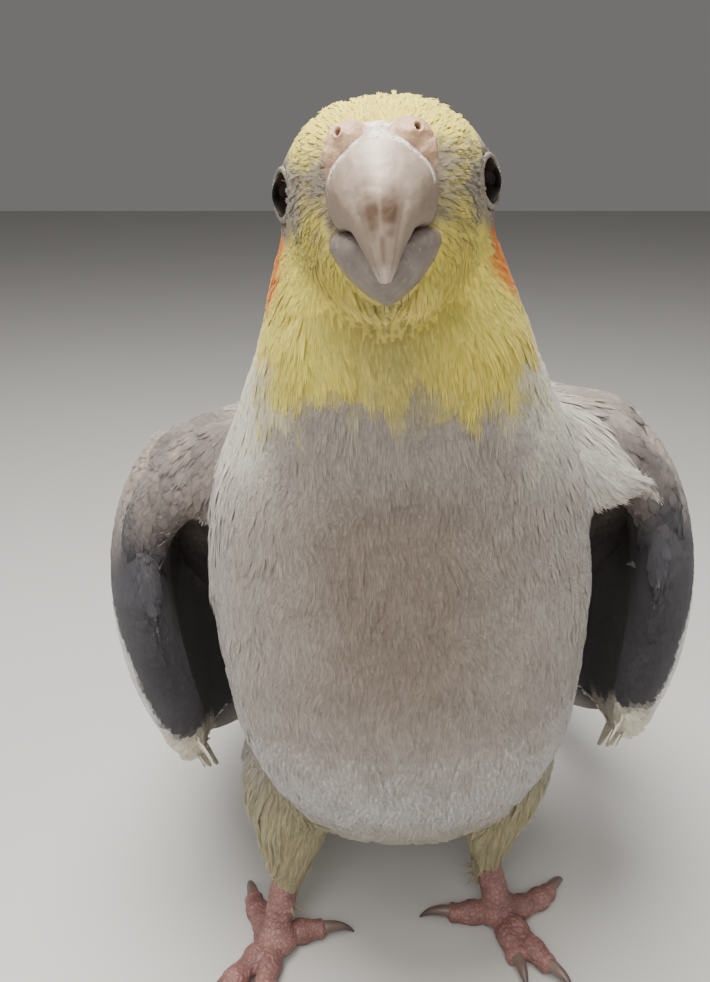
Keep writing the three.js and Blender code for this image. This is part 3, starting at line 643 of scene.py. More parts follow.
flap = fold_share["flap"]
wing_top = np.maximum(np.maximum(shoulder_share, fold_share["mantle"]), fold_share["bend"])
wing_top = wing_top * (1 - flap)
brown = np.maximum(brown, 0.8 * wing_top) * (1 - flap)
dark = wing_top * (0.62 + 0.1 * ripple(at, 5, 48))
down_bend = smooth(0.3, 0.72, fold_run["bend"] + 0.04 * ripple(at, 5, 47))
dark = np.maximum(dark, fold_share["bend"] * (0.3 + 0.7 * down_bend) * (1 - flap))
# painted shade: the underside of the shoulder, in the gap between breast and wing
armpit_shade = shoulder_share * smooth(86, 76, t[:, 2]) * smooth(0.4, -0.1, normal[:, 1]) * (1 - flap)
# painted shade: the belly darker towards the bottom, where it turns away from the light
under = smooth(56, 32, t[:, 2]) * (1 - thigh_share) * 0.4
# painted shade: the thighs darkened for the belly's shade over them, with the armpits' and low
# belly's
dark = np.clip(np.maximum(dark, 0.9 * armpit_shade) + 0.56 * thigh_share + under, 0, 1)
pale = np.maximum(pale * (1 - wing_top), np.maximum(0.5 * flap, 0.5 * thigh_share))
whitish = np.maximum(whitish * (1 - wing_top), 0.25 * flap)
note(skin.data, lie=lie, yellow=np.maximum(yellow, lemon), orange=orange, bare=bare, brown=brown,
     pale=pale, whitish=whitish, dark=dark)

# %% [markdown]
# Each coat needs a map of its own for colour, in which every tuft has a small patch at its root.
# The map comes from unwrapping the skin itself, by projecting its flatter parts one by one.

# %% A map of the skin
bpy.context.view_layer.objects.active = skin
skin.select_set(True)
bpy.ops.object.mode_set(mode="EDIT")
bpy.ops.mesh.select_all(action="SELECT")
bpy.ops.uv.smart_project(angle_limit=math.radians(66), island_margin=0.006)
bpy.ops.object.mode_set(mode="OBJECT")
skin.data.uv_layers[0].name = "OFBake"
print("skin mapped:", len(skin.data.uv_layers["OFBake"].data), "corners")

# %% [markdown]
# ## The tufts
# A small body feather is a thin leaf whose end frays into loose barbs. A leaf with a notched end
# is enough at this size: a fan of triangles above, a flat face below, and a slight bend so that
# it hugs the body. There is a fine one for the face and broader ones for the trunk.

# %% Leaves for the coat
store = bpy.data.collections.new("patterns")


def leaf(name, length, width, tips, fray=0.3, bend=0.1, seed=1, thick=0.05, hug=0.0):
    """A leaf of this length and width in millimetres, along +Y, its end split into so many tips.

    hug bends it down along its length, so that it keeps to a round body."""
    rng = np.random.default_rng(seed)
    side = width / 2
    root = 0.35 * side
    rim = [[root, 0], [side, length * 0.5]]
    spread = np.linspace(0.92, -0.92, tips)
    for k, x in enumerate(spread):
        long = length * (1 - 0.22 * x * x) * rng.uniform(0.9, 1.03)
        rim.append([x * side * 0.95, long])
        if k < tips - 1:
            between = (x + spread[k + 1]) / 2
            nick = length * (1 - fray * rng.uniform(0.75, 1.25)) * (1 - 0.1 * between**2)
            rim.append([between * side, nick])
    rim += [[-side, length * 0.5], [-root, 0]]
    rim = np.array(rim)
    arch = np.sin(np.pi * rim[:, 1] / length * 0.75) - 0.9 * (rim[:, 1] / length) ** 2
    high = bend * length * arch
    high = high - 0.25 * rim[:, 0] ** 2 / width - hug * rim[:, 1] ** 2 / length
    middle = [0, length * 0.42, (bend * 0.75 - hug * 0.42**2) * length + thick * width]
    points = np.vstack([np.column_stack([rim, high]), middle]) / 1000
    count = len(rim)
    faces = [(count, (k + 1) % count, k) for k in range(count)]
    mesh = bpy.data.meshes.new(name)
    mesh.from_pydata(points.tolist(), [], [*faces, tuple(range(count))])
    work = bmesh.new()
    work.from_mesh(mesh)
    bmesh.ops.triangulate(work, faces=work.faces)
    bmesh.ops.recalc_face_normals(work, faces=work.faces)
    uv = work.loops.layers.uv.new("Leaf")
    for face in work.faces:
        for loop in face.loops:
            loop[uv].uv = (loop.vert.co.x * 1000 / width + 0.5, loop.vert.co.y * 1000 / length)
    work.to_mesh(mesh)
    work.free()
    mesh.shade_smooth()
    mesh.set_sharp_from_angle(angle=math.radians(55))
    made = bpy.data.objects.new(name, mesh)
    store.objects.link(made)
    print(name, len(mesh.polygons), "faces")
    return made


# %% [markdown]
# Geometry Nodes set the leaves on the skin. The tree scatters points that keep a least distance,
# turns each leaf's face to the skin's normal and its length to the lie, lifts it a little, and
# varies its size and angle. At the end the copies are made real, each gets its patch of the
# colour map, and the material is set.

# %% A helper for node trees
def add(tree, kind, settings=None, **inputs):
    """A node with these settings. An input goes by its name, or by i and its number.

    It takes a value or a socket."""
    made = tree.nodes.new(kind)
    for key, value in (settings or {}).items():
        setattr(made, key, value)
    for key, value in inputs.items():
        socket = made.inputs[int(key[1:]) if key[1:].isdigit() else key.replace("_", " ")]
        if isinstance(value, bpy.types.NodeSocket):
            tree.links.new(value, socket)
        else:
            socket.default_value = value
    return made


def math_of(tree, operation, *values):
    return add(tree, "ShaderNodeMath", {"operation": operation},
               **{f"i{k}": value for k, value in enumerate(values)}).outputs[0]


# %% The coat's node tree
# the most points for each square metre before the least distance thins them
POINTS_BEFORE_THINNING = 9e6
# how much of the map of colours one leaf covers
PATCH = 0.003


def coat_tree():
    tree = bpy.data.node_groups.new("coat", "GeometryNodeTree")
    tree.interface.new_socket("Geometry", in_out="INPUT", socket_type="NodeSocketGeometry")
    inputs = {"Leaf": "Object", "Region": "Int", "Spacing": "Float", "Lift": "Float",
              "Unrest": "Float", "Seed": "Int", "Finish": "Material"}
    for name, kind in inputs.items():
        tree.interface.new_socket(name, in_out="INPUT", socket_type="NodeSocket" + kind)
    tree.interface.new_socket("Geometry", in_out="OUTPUT", socket_type="NodeSocketGeometry")
    link = tree.links.new

    def node(kind, settings=None, **inputs):
        return add(tree, kind, settings, **inputs)

    def attribute(name, kind="FLOAT"):
        return node("GeometryNodeInputNamedAttribute", {"data_type": kind}, Name=name).outputs[0]

    def chance(low, high, more):
        seed = math_of(tree, "ADD", start.outputs["Seed"], more)
        return node("FunctionNodeRandomValue", {"data_type": "FLOAT"}, i2=low, i3=high,
                    Seed=seed).outputs[1]

    start = tree.nodes.new("NodeGroupInput")
    here = node("FunctionNodeCompare", {"data_type": "INT", "operation": "EQUAL"},
                i2=attribute("region", "INT"), i3=start.outputs["Region"]).outputs[0]
    points = node("GeometryNodeDistributePointsOnFaces", {"distribute_method": "POISSON"},
                  Mesh=start.outputs["Geometry"], Selection=here, Seed=start.outputs["Seed"])
    points.inputs["Density Max"].default_value = POINTS_BEFORE_THINNING
    link(start.outputs["Spacing"], points.inputs["Distance Min"])
    link(attribute("keep"), points.inputs["Density Factor"])
    facing = node("FunctionNodeAxesToRotation", {"primary_axis": "Z", "secondary_axis": "Y"})
    link(points.outputs["Normal"], facing.inputs[0])
    link(attribute("lie", "FLOAT_VECTOR"), facing.inputs[1])
    unrest = start.outputs["Unrest"]
    sway = math_of(tree, "MULTIPLY", chance(-1.0, 1.0, 5), unrest)
    pitch = math_of(tree, "ADD", start.outputs["Lift"], sway)
    pitch = math_of(tree, "ADD", pitch, attribute("tilt"))
    yaw = math_of(tree, "MULTIPLY", chance(-2.0, 2.0, 6), unrest)
    turned = facing.outputs[0]
    for axis, angle in (((0, 0, 1), yaw), ((1, 0, 0), pitch)):
        by = node("FunctionNodeAxisAngleToRotation", None, Axis=axis, Angle=angle).outputs[0]
        step = node("FunctionNodeRotateRotation", {"rotation_space": "LOCAL"})
        link(turned, step.inputs[0])
        link(by, step.inputs[1])
        turned = step.outputs[0]
    wide = math_of(tree, "MULTIPLY", attribute("wide"), chance(0.8, 1.2, 7))
    long = math_of(tree, "MULTIPLY", attribute("long"), chance(0.75, 1.2, 8))
    size = node("ShaderNodeCombineXYZ", None, X=wide, Y=long, Z=attribute("long")).outputs[0]
    laid = node("GeometryNodeStoreNamedAttribute", {"data_type": "FLOAT_VECTOR", "domain": "POINT"},
                Geometry=points.outputs["Points"], Name="lay", Value=points.outputs["Normal"])
    one_leaf = node("GeometryNodeObjectInfo", None,
                    Object=start.outputs["Leaf"]).outputs["Geometry"]
    copies = node("GeometryNodeInstanceOnPoints", None, Points=laid.outputs[0], Instance=one_leaf,
                  Rotation=turned, Scale=size)
    own = node("GeometryNodeStoreNamedAttribute", {"data_type": "FLOAT", "domain": "INSTANCE"},
               Geometry=copies.outputs[0], Name="own", Value=chance(0.0, 1.0, 9))
    whole = node("GeometryNodeRealizeInstances", None, Geometry=own.outputs[0]).outputs[0]
    patch = node("ShaderNodeVectorMath", {"operation": "MULTIPLY_ADD"},
                 i0=attribute("Leaf", "FLOAT_VECTOR"), i1=(PATCH, PATCH, 0.0),
                 i2=attribute("root_map", "FLOAT_VECTOR")).outputs[0]
    mapped = node("GeometryNodeStoreNamedAttribute", {"data_type": "FLOAT2", "domain": "CORNER"},
                  Geometry=whole, Name="OFBake", Value=patch).outputs[0]
    finished = node("GeometryNodeSetMaterial", None, Geometry=mapped,
                    Material=start.outputs["Finish"])
    end = tree.nodes.new("NodeGroupOutput")
    link(finished.outputs[0], end.inputs[0])
    return tree


coat_nodes = coat_tree()
socket_of = {item.name: item.identifier for item in coat_nodes.interface.items_tree
             if item.in_out == "INPUT"}

# %% [markdown]
# ## The plumage's colours
# One group of shader nodes holds the markings, so the skin and every feather on it mix the same
# named colours by the same masks. It breaks each colour up with a broad mottling and a fine one.
# The materials add what differs between them: a feather carries painted shade that darkens it
# towards its sunken root, so it is lighter at its end, and it is finely barred along its barbs.

# %% Colours
def colour(red, green, blue):
    """A colour given in screen values from 0 to 255, as light."""
    share = np.array([red, green, blue]) / 255
    light = np.where(share > 0.04045, ((share + 0.055) / 1.055) ** 2.4, share / 12.92)
    return (*light.tolist(), 1.0)


PLUMAGE = {
    "grey": colour(176, 164, 152),
    "brown": colour(154, 138, 124),
    "pale": colour(204, 199, 193),
    "dark": colour(64, 62, 66),
    "white": colour(232, 231, 225),
    "yellow": colour(242, 222, 98),
    "whitish": colour(236, 229, 205),
    "orange": colour(226, 120, 30),
    "bare": colour(148, 136, 118),
}


def new_tree(name, outputs, inputs=()):
    tree = bpy.data.node_groups.new(name, "ShaderNodeTree")
    for socket, kind, start in inputs:
        made = tree.interface.new_socket(socket, in_out="INPUT", socket_type="NodeSocket" + kind)
        if start is not None:
            made.default_value = start
    for socket, kind in outputs:
        tree.interface.new_socket(socket, in_out="OUTPUT", socket_type="NodeSocket" + kind)
    return tree, tree.nodes.new("NodeGroupInput"), tree.nodes.new("NodeGroupOutput")


def mix(tree, share, a, b, how="MIX"):
    kind = {"data_type": "RGBA", "blend_type": how}
    return add(tree, "ShaderNodeMix", kind, i0=share, i6=a, i7=b).outputs[2]


def mask_from(tree, name):
    return add(tree, "ShaderNodeAttribute", {"attribute_name": name}).outputs["Fac"]


def place(tree):
    return add(tree, "ShaderNodeTexCoord").outputs["Object"]


def noise(tree, scale, detail=2.0, vector=None):
    return add(tree, "ShaderNodeTexNoise", None, Vector=vector or place(tree), Scale=scale,
               Detail=detail).outputs["Fac"]


def span(tree, value, low, high, to_low=0.0, to_high=1.0):
    return add(tree, "ShaderNodeMapRange", None, Value=value, From_Min=low, From_Max=high,
               To_Min=to_low, To_Max=to_high).outputs[0]


def times(tree, *values):
    """The product of two values or more."""
    product = values[0]
    for value in values[1:]:
        product = math_of(tree, "MULTIPLY", product, value)
    return product


def scaled(tree, tint, factor):
    """A colour made lighter or darker by a factor that may change over the surface."""
    return add(tree, "ShaderNodeVectorMath", {"operation": "SCALE"}, i0=tint,
               Scale=factor).outputs[0]


def two_tones(tree, scale, detail, first, second):
    """Two colours in soft clouds of this scale."""
    cloud = span(tree, noise(tree, scale, detail), 0.3, 0.7)
    return mix(tree, cloud, colour(*first), colour(*second))


def flecks(tree, tint, scale, low, most, fleck):
    """Small spots of another colour on a tint, where a fine noise is high."""
    spots = span(tree, noise(tree, scale), low, low + 0.12, 0.0, most)
    return mix(tree, spots, tint, colour(*fleck))


def cells(tree, scale, feature="F1"):
    return add(tree, "ShaderNodeTexVoronoi", {"feature": feature}, Vector=place(tree),
               Scale=scale).outputs["Distance"]


# %% The markings' group
markings, _, out = new_tree("markings", [("Colour", "Color")])
tint = PLUMAGE["grey"]
for name in list(PLUMAGE)[1:]:
    tint = mix(markings, mask_from(markings, name), tint, PLUMAGE[name])
cloud = span(markings, noise(markings, 150, 3.0), 0.3, 0.7, 0.9, 1.1)
grain = span(markings, noise(markings, 900, 2.0), 0.3, 0.7, 0.94, 1.06)
tint = scaled(markings, tint, times(markings, cloud, grain))
markings.links.new(tint, out.inputs["Colour"])
print("colours in the markings:", len(PLUMAGE))


# %% [markdown]
# A feather's barbs are fine ridges that run from its shaft out to its edge. At this size they are
# drawn by a wave along the feather's own map, bent backwards from the middle, which gives both a
# faint streak and a bump.

# %% The barbs' group
def off_shaft(tree, across):
    """How far a place on a feather's map is from the shaft in its middle."""
    return math_of(tree, "ABSOLUTE", math_of(tree, "SUBTRACT", across, 0.5))


barbs, start, out = new_tree(
    "barbs", [("Streak", "Float"), ("Height", "Float")],
    [("Map", "Vector", None), ("Count", "Float", 40.0), ("Sweep", "Float", 0.6)])
parts = add(barbs, "ShaderNodeSeparateXYZ", None, Vector=start.outputs["Map"])
back = times(barbs, off_shaft(barbs, parts.outputs[0]), start.outputs["Sweep"])
run = times(barbs, math_of(barbs, "SUBTRACT", parts.outputs[1], back), start.outputs["Count"])
wobble = span(barbs, noise(barbs, 1300), 0.3, 0.7, -0.6, 0.6)
wave = math_of(barbs, "SINE", times(barbs, math_of(barbs, "ADD", run, wobble), 2 * math.pi))
loose = span(barbs, noise(barbs, 420, 3.0), 0.35, 0.65, -1.0, 1.0)
barbs.links.new(math_of(barbs, "MULTIPLY_ADD", loose, 0.5, wave), out.inputs["Streak"])
barbs.links.new(wave, out.inputs["Height"])


def soft_normal(tree):
    """The surface's own normal, turned to that of the skin under the feather where they agree."""
    lay = add(tree, "ShaderNodeAttribute", {"attribute_name": "lay"}).outputs["Vector"]
    own = add(tree, "ShaderNodeNewGeometry").outputs["Normal"]
    agree = add(tree, "ShaderNodeVectorMath", {"operation": "DOT_PRODUCT"}, i0=own,
                i1=lay).outputs["Value"]
    share = span(tree, agree, 0.1, 0.7, 0.0, 0.8)
    blend = add(tree, "ShaderNodeMix", {"data_type": "VECTOR"}, i0=share, i4=own, i5=lay).outputs[1]
    return add(tree, "ShaderNodeVectorMath", {"operation": "NORMALIZE"}, i0=blend).outputs[0]


def finish(name, tint, rough, height=None, strength=0.3, depth=0.0003, normal=None, **fixed):
    """A material from what draws its colour and perhaps its roughness, height and normal.

    Further values are fixed on the shader's sockets of the same names."""
    made = bpy.data.materials.new(name)
    made.use_nodes = True
    tree = made.node_tree
    shader = tree.nodes["Principled BSDF"]
    tree.links.new(tint(tree), shader.inputs["Base Color"])
    if callable(rough):
        tree.links.new(rough(tree), shader.inputs["Roughness"])
    else:
        shader.inputs["Roughness"].default_value = rough
    if height:
        bump = add(tree, "ShaderNodeBump", None, Strength=strength, Distance=depth,
                   Height=height(tree))
        tree.links.new(bump.outputs[0], shader.inputs["Normal"])
    if normal:
        tree.links.new(normal(tree), shader.inputs["Normal"])
    for key, value in fixed.items():
        shader.inputs[key.replace("_", " ")].default_value = value
    return made


# %% Plumage of the body
def group(tree, which, **inputs):
    made = add(tree, "ShaderNodeGroup", {"node_tree": which})
    for key, value in inputs.items():
        if isinstance(value, bpy.types.NodeSocket):
            tree.links.new(value, made.inputs[key])
        else:
            made.inputs[key].default_value = value
    return made


def leaf_map(tree):
    return add(tree, "ShaderNodeUVMap", {"uv_map": "Leaf"}).outputs[0]


def coat_tint(tree):
    base = group(tree, markings).outputs["Colour"]
    parts = add(tree, "ShaderNodeSeparateXYZ", None, Vector=leaf_map(tree))
    own = span(tree, mask_from(tree, "own"), 0, 1, 0.93, 1.07)
    # painted shade: each leaf darker towards its sunken root and lighter at its end
    depth = span(tree, parts.outputs[1], 0.1, 0.9, 0.86, 1.06)
    hairs = add(tree, "ShaderNodeCombineXYZ", None, X=times(tree, parts.outputs[0], 7.0),
                Y=times(tree, parts.outputs[1], 1.3),
                Z=times(tree, mask_from(tree, "own"), 60.0)).outputs[0]
    streak = span(tree, noise(tree, 1.0, vector=hairs), 0.3, 0.7, 0.86, 1.12)
    return scaled(tree, base, times(tree, own, depth, streak))


def skin_tint(tree):
    # painted shade: the skin under the feathers takes the markings at 0.8 of their brightness
    return scaled(tree, group(tree, markings).outputs["Colour"], 0.8)


coat_finish = finish("body feathers", coat_tint, 0.8, normal=soft_normal, Sheen_Weight=0.05,
                     Sheen_Roughness=0.5, Specular_IOR_Level=0.15, Subsurface_Weight=0.5,
                     Subsurface_Radius=(1.0, 0.9, 0.75), Subsurface_Scale=0.0006)
skin_finish = finish("skin under the feathers", skin_tint, 0.85,
                     lambda tree: noise(tree, 900, 3.0), 0.4, Specular_IOR_Level=0.2)

# %% [markdown]
# ## The coat
# The skin is divided into regions, each with feathers of its own size: hair-fine and short round
# the bill and eyes, longer over the crown and throat, broad and soft on breast, belly and back,
# and long and loose on the thighs. A region's leaves are one piece of the model.

# %% Regions and sizes
on_head = head_share > 0.5
on_thigh = thigh_share > 0.5
on_flap = fold_share["flap"] > 0.5
on_shoulder = (wing_top > 0.5) & ~on_thigh
left = at[:, 0] > HIPS[0]
frontal = normal[:, 1] < 0.15
REGIONS = ["mask", "crown", "throat", "neck", "breast_left", "breast_right",
           "belly_left", "belly_right", "back_left", "back_right", "rump",
           "thigh_left", "thigh_right", "shoulder_left", "shoulder_right"]
z, ahead, up = t[:, 2], f[:, 1], f[:, 2]
# a name that ends in _ stands for a left and a right region, and later rows count over earlier ones
PLACES = [
    ((z >= 60) & frontal, "breast_"),
    ((z < 60) & frontal, "belly_"),
    ((z >= 50) & ~frontal, "back_"),
    ((z >= 100) & ~on_head, "neck"),
    (on_head & (ahead > -4) & (up > -6), "crown"),
    (on_head & (ahead <= -4) & (up > -6), "mask"),
    (on_head & (up <= -6), "throat"),
    (on_shoulder, "shoulder_"),
    (on_flap, "breast_left"),
    (on_thigh, "thigh_"),
]
region = np.full(len(at), REGIONS.index("rump"))
for inside, name in PLACES:
    if name.endswith("_"):
        region[inside & left] = REGIONS.index(name + "left")
        region[inside & ~left] = REGIONS.index(name + "right")
    else:
        region[inside] = REGIONS.index(name)

bill_off = np.linalg.norm((f - [0, -14, -3]) * [0.85, 1, 0.8], axis=1)
small = smooth(13, 4.5, bill_off)
long = 1 - 0.5 * small * head_share
eye_off = np.full(len(at), 99.0)
for side in (-1, 1):
    along, aside = from_eye(f, side)
    off = np.linalg.norm(aside, axis=1)
    eye_off = np.where((along > 0) & (off < eye_off), off, eye_off)
long = long * (0.55 + 0.45 * smooth(3.4, 6.5, eye_off))
# no feathers grow where the lower bill lies on the chin
lip = (np.abs(f[:, 0]) < 5.4 * np.clip((up + 13.4) / 6, 0, 1) ** 0.7) & (ahead < -10) & (up < -4.5)
keep = smooth(2.95, 3.3, eye_off) * (1 - 0.45 * bare) * ~lip
tilt = 0.05 * ripple(at, 6, 31) * (1 - head_share) + 0.06 * thigh_share - 0.05 * fold_share["flap"]
mapped = np.zeros(len(skin.data.loops) * 2)
skin.data.uv_layers["OFBake"].data.foreach_get("uv", mapped)
root_map = np.zeros((len(at), 3))
root_map[corners_of(skin.data), :2] = mapped.reshape(-1, 2)
note(skin.data, keep=keep, long=long, wide=0.6 + 0.4 * long, tilt=tilt, region=region,
     root_map=root_map)
print({name: int((region == k).sum()) for k, name in enumerate(REGIONS)})

# %% Leaves and their spacing, region by region
fine = leaf("fine leaf", 3.0, 0.5, 3, 0.6, 0.04, seed=2, hug=0.11)
close = leaf("close leaf", 3.0, 0.55, 3, 0.55, 0.04, seed=12, hug=0.25)
soft = leaf("soft leaf", 5.2, 1.0, 4, 0.62, 0.04, seed=3, hug=0.08)
broad = leaf("broad leaf", 6.8, 1.35, 4, 0.6, 0.04, seed=4, hug=0.07)
strand = leaf("strand leaf", 6.4, 0.7, 3, 0.6, 0.04, seed=5, hug=0.07)
scale = leaf("scale leaf", 4.2, 2.0, 5, 0.3, 0.03, seed=6, hug=0.13)
# the leaf, the least distance in millimetres, the lift off the skin and the unrest, both in degrees
COATS = {
    "mask": (fine, 0.33, 5, 5),
    "crown": (close, 0.3, 0, 1),
    "throat": (fine, 0.33, 4, 4),
    "neck": (soft, 0.47, 4, 3),
    "breast": (soft, 0.48, 3.5, 3),
    "belly": (broad, 0.58, 3.5, 3),
    "back": (broad, 0.85, 7, 4),
    "rump": (broad, 0.85, 7, 5),
    "thigh": (strand, 0.42, 4, 4),
    "shoulder": (scale, 0.76, 3, 2),
}


def scattered(name, ground, index, leaf_object, spacing, lift, unrest, seed, material):
    """The leaves of one region as a plain mesh."""
    host = placed(name, ground)
    coat = host.modifiers.new("coat", "NODES")
    coat.node_group = coat_nodes
    values = {"Leaf": leaf_object, "Region": index, "Spacing": spacing / 1000,
              "Lift": math.radians(lift), "Unrest": math.radians(unrest), "Seed": seed,
              "Finish": material}
    for key, value in values.items():
        coat[socket_of[key]] = value
    sight = bpy.context.evaluated_depsgraph_get()
    mesh = bpy.data.meshes.new_from_object(host.evaluated_get(sight), depsgraph=sight)
    host.modifiers.clear()
    host.data = mesh
    mesh.name = name
    return host


def ground_for(mesh, lie, keep, root_map, long=1.0, wide=1.0, region=0, **marks):
    """Tells every point of a mesh what the coat's node tree reads there, and its marks."""
    even = {"long": long, "wide": wide, "tilt": 0.0, "region": region}
    even = {key: np.broadcast_to(value, len(mesh.vertices)) for key, value in even.items()}
    note(mesh, lie=lie, keep=keep, root_map=root_map, **even, **marks)


def loft_map(a, share, shape, width=0.96, start=0.02):
    """A map of a loft, round it and along it, with the two points that close it."""
    u = np.append(np.broadcast_to(a / (2 * math.pi), shape).ravel(), [0.5, 0.5])
    v = with_ends(np.broadcast_to(share[:, None], shape))
    return np.stack([u * width + start, v * 0.96 + 0.02, 0 * u], -1), v


coats = []
for index, name in enumerate(REGIONS):
    kind = name.split("_")[0]
    made = scattered("coat_" + name, skin.data, index, *COATS[kind], 40 + index, coat_finish)
    coats.append(made)
    print(made.name, len(made.data.polygons), [layer.name for layer in made.data.uv_layers])
skin.data.materials.clear()
skin.data.materials.append(skin_finish)

# %% [markdown]
# ## The wings
# A folded wing is a blade that curls round the body. Its own space makes it easy to build: along
# it from the wrist to the tip, up across it, and out from its middle surface. The arm and hand
# under their coverts are a flat loft in that space, and every quill is laid on it by where its
# root and its tip are.

# %% The wing's space
WING_LINE, WING_LENGTH = evenly(curve([
    [37, -15, 74],
    [41.5, -2, 66.5],
    [41.7, 13, 57.8],
    [38.2, 35, 46],
    [31, 62, 34.5],
    [22, 97, 23],
    [14.5, 134, 14.8],
]))
WING_CURL = 40.0
# how full the oval section of a blade is
BLADE = 2.4
# rows of: how far along, the middle, half the height and half the thickness
ARM = curve([
    [-4, 6, 7, 1.4],
    [2, 7.5, 17, 4],
    [10, 5.5, 25, 5],
    [22, 2, 27.5, 4.8],
    [37, -0.5, 24, 3.8],
    [53, -1.8, 18.5, 2.8],
    [74, -3, 13, 2],
    [98, -4, 8.5, 1.4],
    [122, -5, 5, 1],
    [142, -5.6, 2.6, 0.7],
])
arm_table = ARM(np.linspace(0, 1, 400))


def wing_space(name):
    def place(along, up, out):
        along, up, out = np.broadcast_arrays(*(np.asarray(v, float) for v in (along, up, out)))
        share = np.clip(along / WING_LENGTH, 0, 1)
        ahead = heading(WING_LINE, share)
        p = WING_LINE(share) + ahead * (along - share * WING_LENGTH)[..., None]
        rise = unit(UP - ahead * ahead[..., 2:3])
        outward = np.cross(ahead, rise)
        curl = WING_CURL * (1 + 2.5 * share**2)
        p = p + rise * ((curl + out) * np.sin(up / curl))[..., None]
        p = p + outward * ((curl + out) * np.cos(up / curl) - curl)[..., None]
        p = p + (SPREAD[name] * (1 - share) ** 2)[..., None] * ACROSS
        return from_trunk(p * [SIDE_OF[name], 1, 1])

    return place


def arm_face(along, up):
    """How far the outer face of the blade stands off its middle surface."""
    middle, high, deep = (np.interp(along, arm_table[:, 0], arm_table[:, k]) for k in (1, 2, 3))
    r = np.minimum(1, np.abs(up - middle) / np.maximum(high, 0.1))
    return np.where(along > arm_table[-1, 0], 0, deep * (1 - r**BLADE) ** (1 / BLADE))


# %% [markdown]
# A vane is a thin plate on both sides of its shaft. Its outline is even at first and rounds off
# or narrows towards the tip. Here it is a ring of points for each step along the shaft, upper
# face and lower face, so a loft closes it. The shaft stands up as a ridge, and the edge is nicked
# where the barbs have come apart.

# %% Vanes
def vane_width(share, pointed):
    root = 0.5 + 0.5 * np.minimum(1, share / 0.2)
    start, power = (0.55, 1.5) if pointed else (0.72, 2.2)
    tip = np.sqrt(np.maximum(0, 1 - np.clip((share - start) / (1 - start), 0, 1) ** power))
    return root * np.maximum(tip, 0.05)


def vane(space, ground, lift, root, tip, width, bow=0.0, pointed=False, rows=22, seed=1, thick=0.12,
         nicks=3):
    """Points, faces and own map of a feather from root to tip, on a ground in a curved space."""
    rng = np.random.default_rng(seed)
    root, tip = np.asarray(root, float), np.asarray(tip, float)
    share = np.linspace(0, 1, rows + 1) ** 0.9
    reach, rise = tip - root
    length = math.hypot(reach, rise)
    sag = bow * 4 * share * (1 - share)
    along = root[0] + reach * share - rise / length * sag
    up = root[1] + rise * share + reach / length * sag
    half = np.stack([width / 2 * vane_width(share, pointed)] * 2)
    for k in rng.integers(rows // 3, rows, nicks):
        half[rng.integers(0, 2), k] *= rng.uniform(0.72, 0.9)
    edge = np.array([-1, -0.72, -0.36, -0.07, 0, 0.07, 0.36, 0.72, 1])
    reach_of = np.where(edge < 0, half[0][:, None], half[1][:, None]) * edge
    along = along[:, None] - rise / length * reach_of
    up = up[:, None] + reach / length * reach_of
    # the outer ends of the barbs trail towards the tip
    along = along + 0.12 * width * edge**2 * np.sin(np.pi * share)[:, None]
    out = ground(along, up) + lift(share[:, None], edge[None, :])
    shaft = 0.34 * np.exp(-(edge / 0.05) ** 2) * (1 - 0.8 * share[:, None])
    body = thick * (1 - 0.5 * np.abs(edge)) * np.ones_like(out)
    over = space(along, up, out + body / 2 + shaft)
    under = space(along, up, out - body / 2 - shaft * 0.6)
    rings = np.concatenate([over, under[:, ::-1]], axis=1)
    points, faces = loft(rings)
    u = np.concatenate([edge, edge[::-1]]) / 2 + 0.5
    uv = np.stack(np.broadcast_arrays(u[None, :], share[:, None]), -1).reshape(-1, 2)
    return points, faces, np.vstack([uv, [[0.5, 0], [0.5, 1]]])


def row_of(count, roots, tips, widths, bow=0.0):
    """A group of feathers between its first and its last: root, tip, width and bow of each."""
    for k in range(count):
        share = k / (count - 1)
        root, tip = (np.array(a) * (1 - share) + np.array(b) * share for a, b in (roots, tips))
        width = widths[0] * (1 - share) + widths[1] * share
        yield share, dict(root=root, tip=tip, width=width, bow=bow)


def feathers(name, made, material, spots):
    """One piece from many vanes, each with marks of its own and a cell of the map for colour.

    spots gives the marks of each vane, as numbers or as arrays over its points."""
    points, faces, uvs, marks, owns, start = [], [], [], {key: [] for key in spots[0]}, [], 0
    rng = np.random.default_rng(len(made))
    grid = math.ceil(math.sqrt(len(made)))
    places = []
    for k, ((some, shape, uv), spot) in enumerate(zip(made, spots)):
        places.append((uv * 0.92 + 0.04 + [k % grid, k // grid]) / grid)
        points.append(some)
        faces += [tuple(k + start for k in face) for face in shape]
        start += len(some)
        uvs.append(uv)
        owns.append(np.full(len(some), rng.uniform()))
        for key, value in spot.items():
            marks[key].append(np.broadcast_to(value, len(some)).astype(float))
    piece = thing(name, np.vstack(points), faces)
    marks = {key: np.concatenate(value) for key, value in marks.items()}
    note(piece.data, own=np.concatenate(owns), **marks)
    add_map(piece.data, "OFBake", np.vstack(places))
    add_map(piece.data, "Leaf", np.vstack(uvs))
    piece.data.materials.append(material)
    piece.data.set_sharp_from_angle(angle=math.radians(50))
    print(name, len(made), "vanes,", len(piece.data.polygons), "faces")
    return piece


# %% The finish of quills
def quill_barbs(tree):
    return group(tree, barbs, Map=leaf_map(tree), Count=60.0, Sweep=0.5).outputs


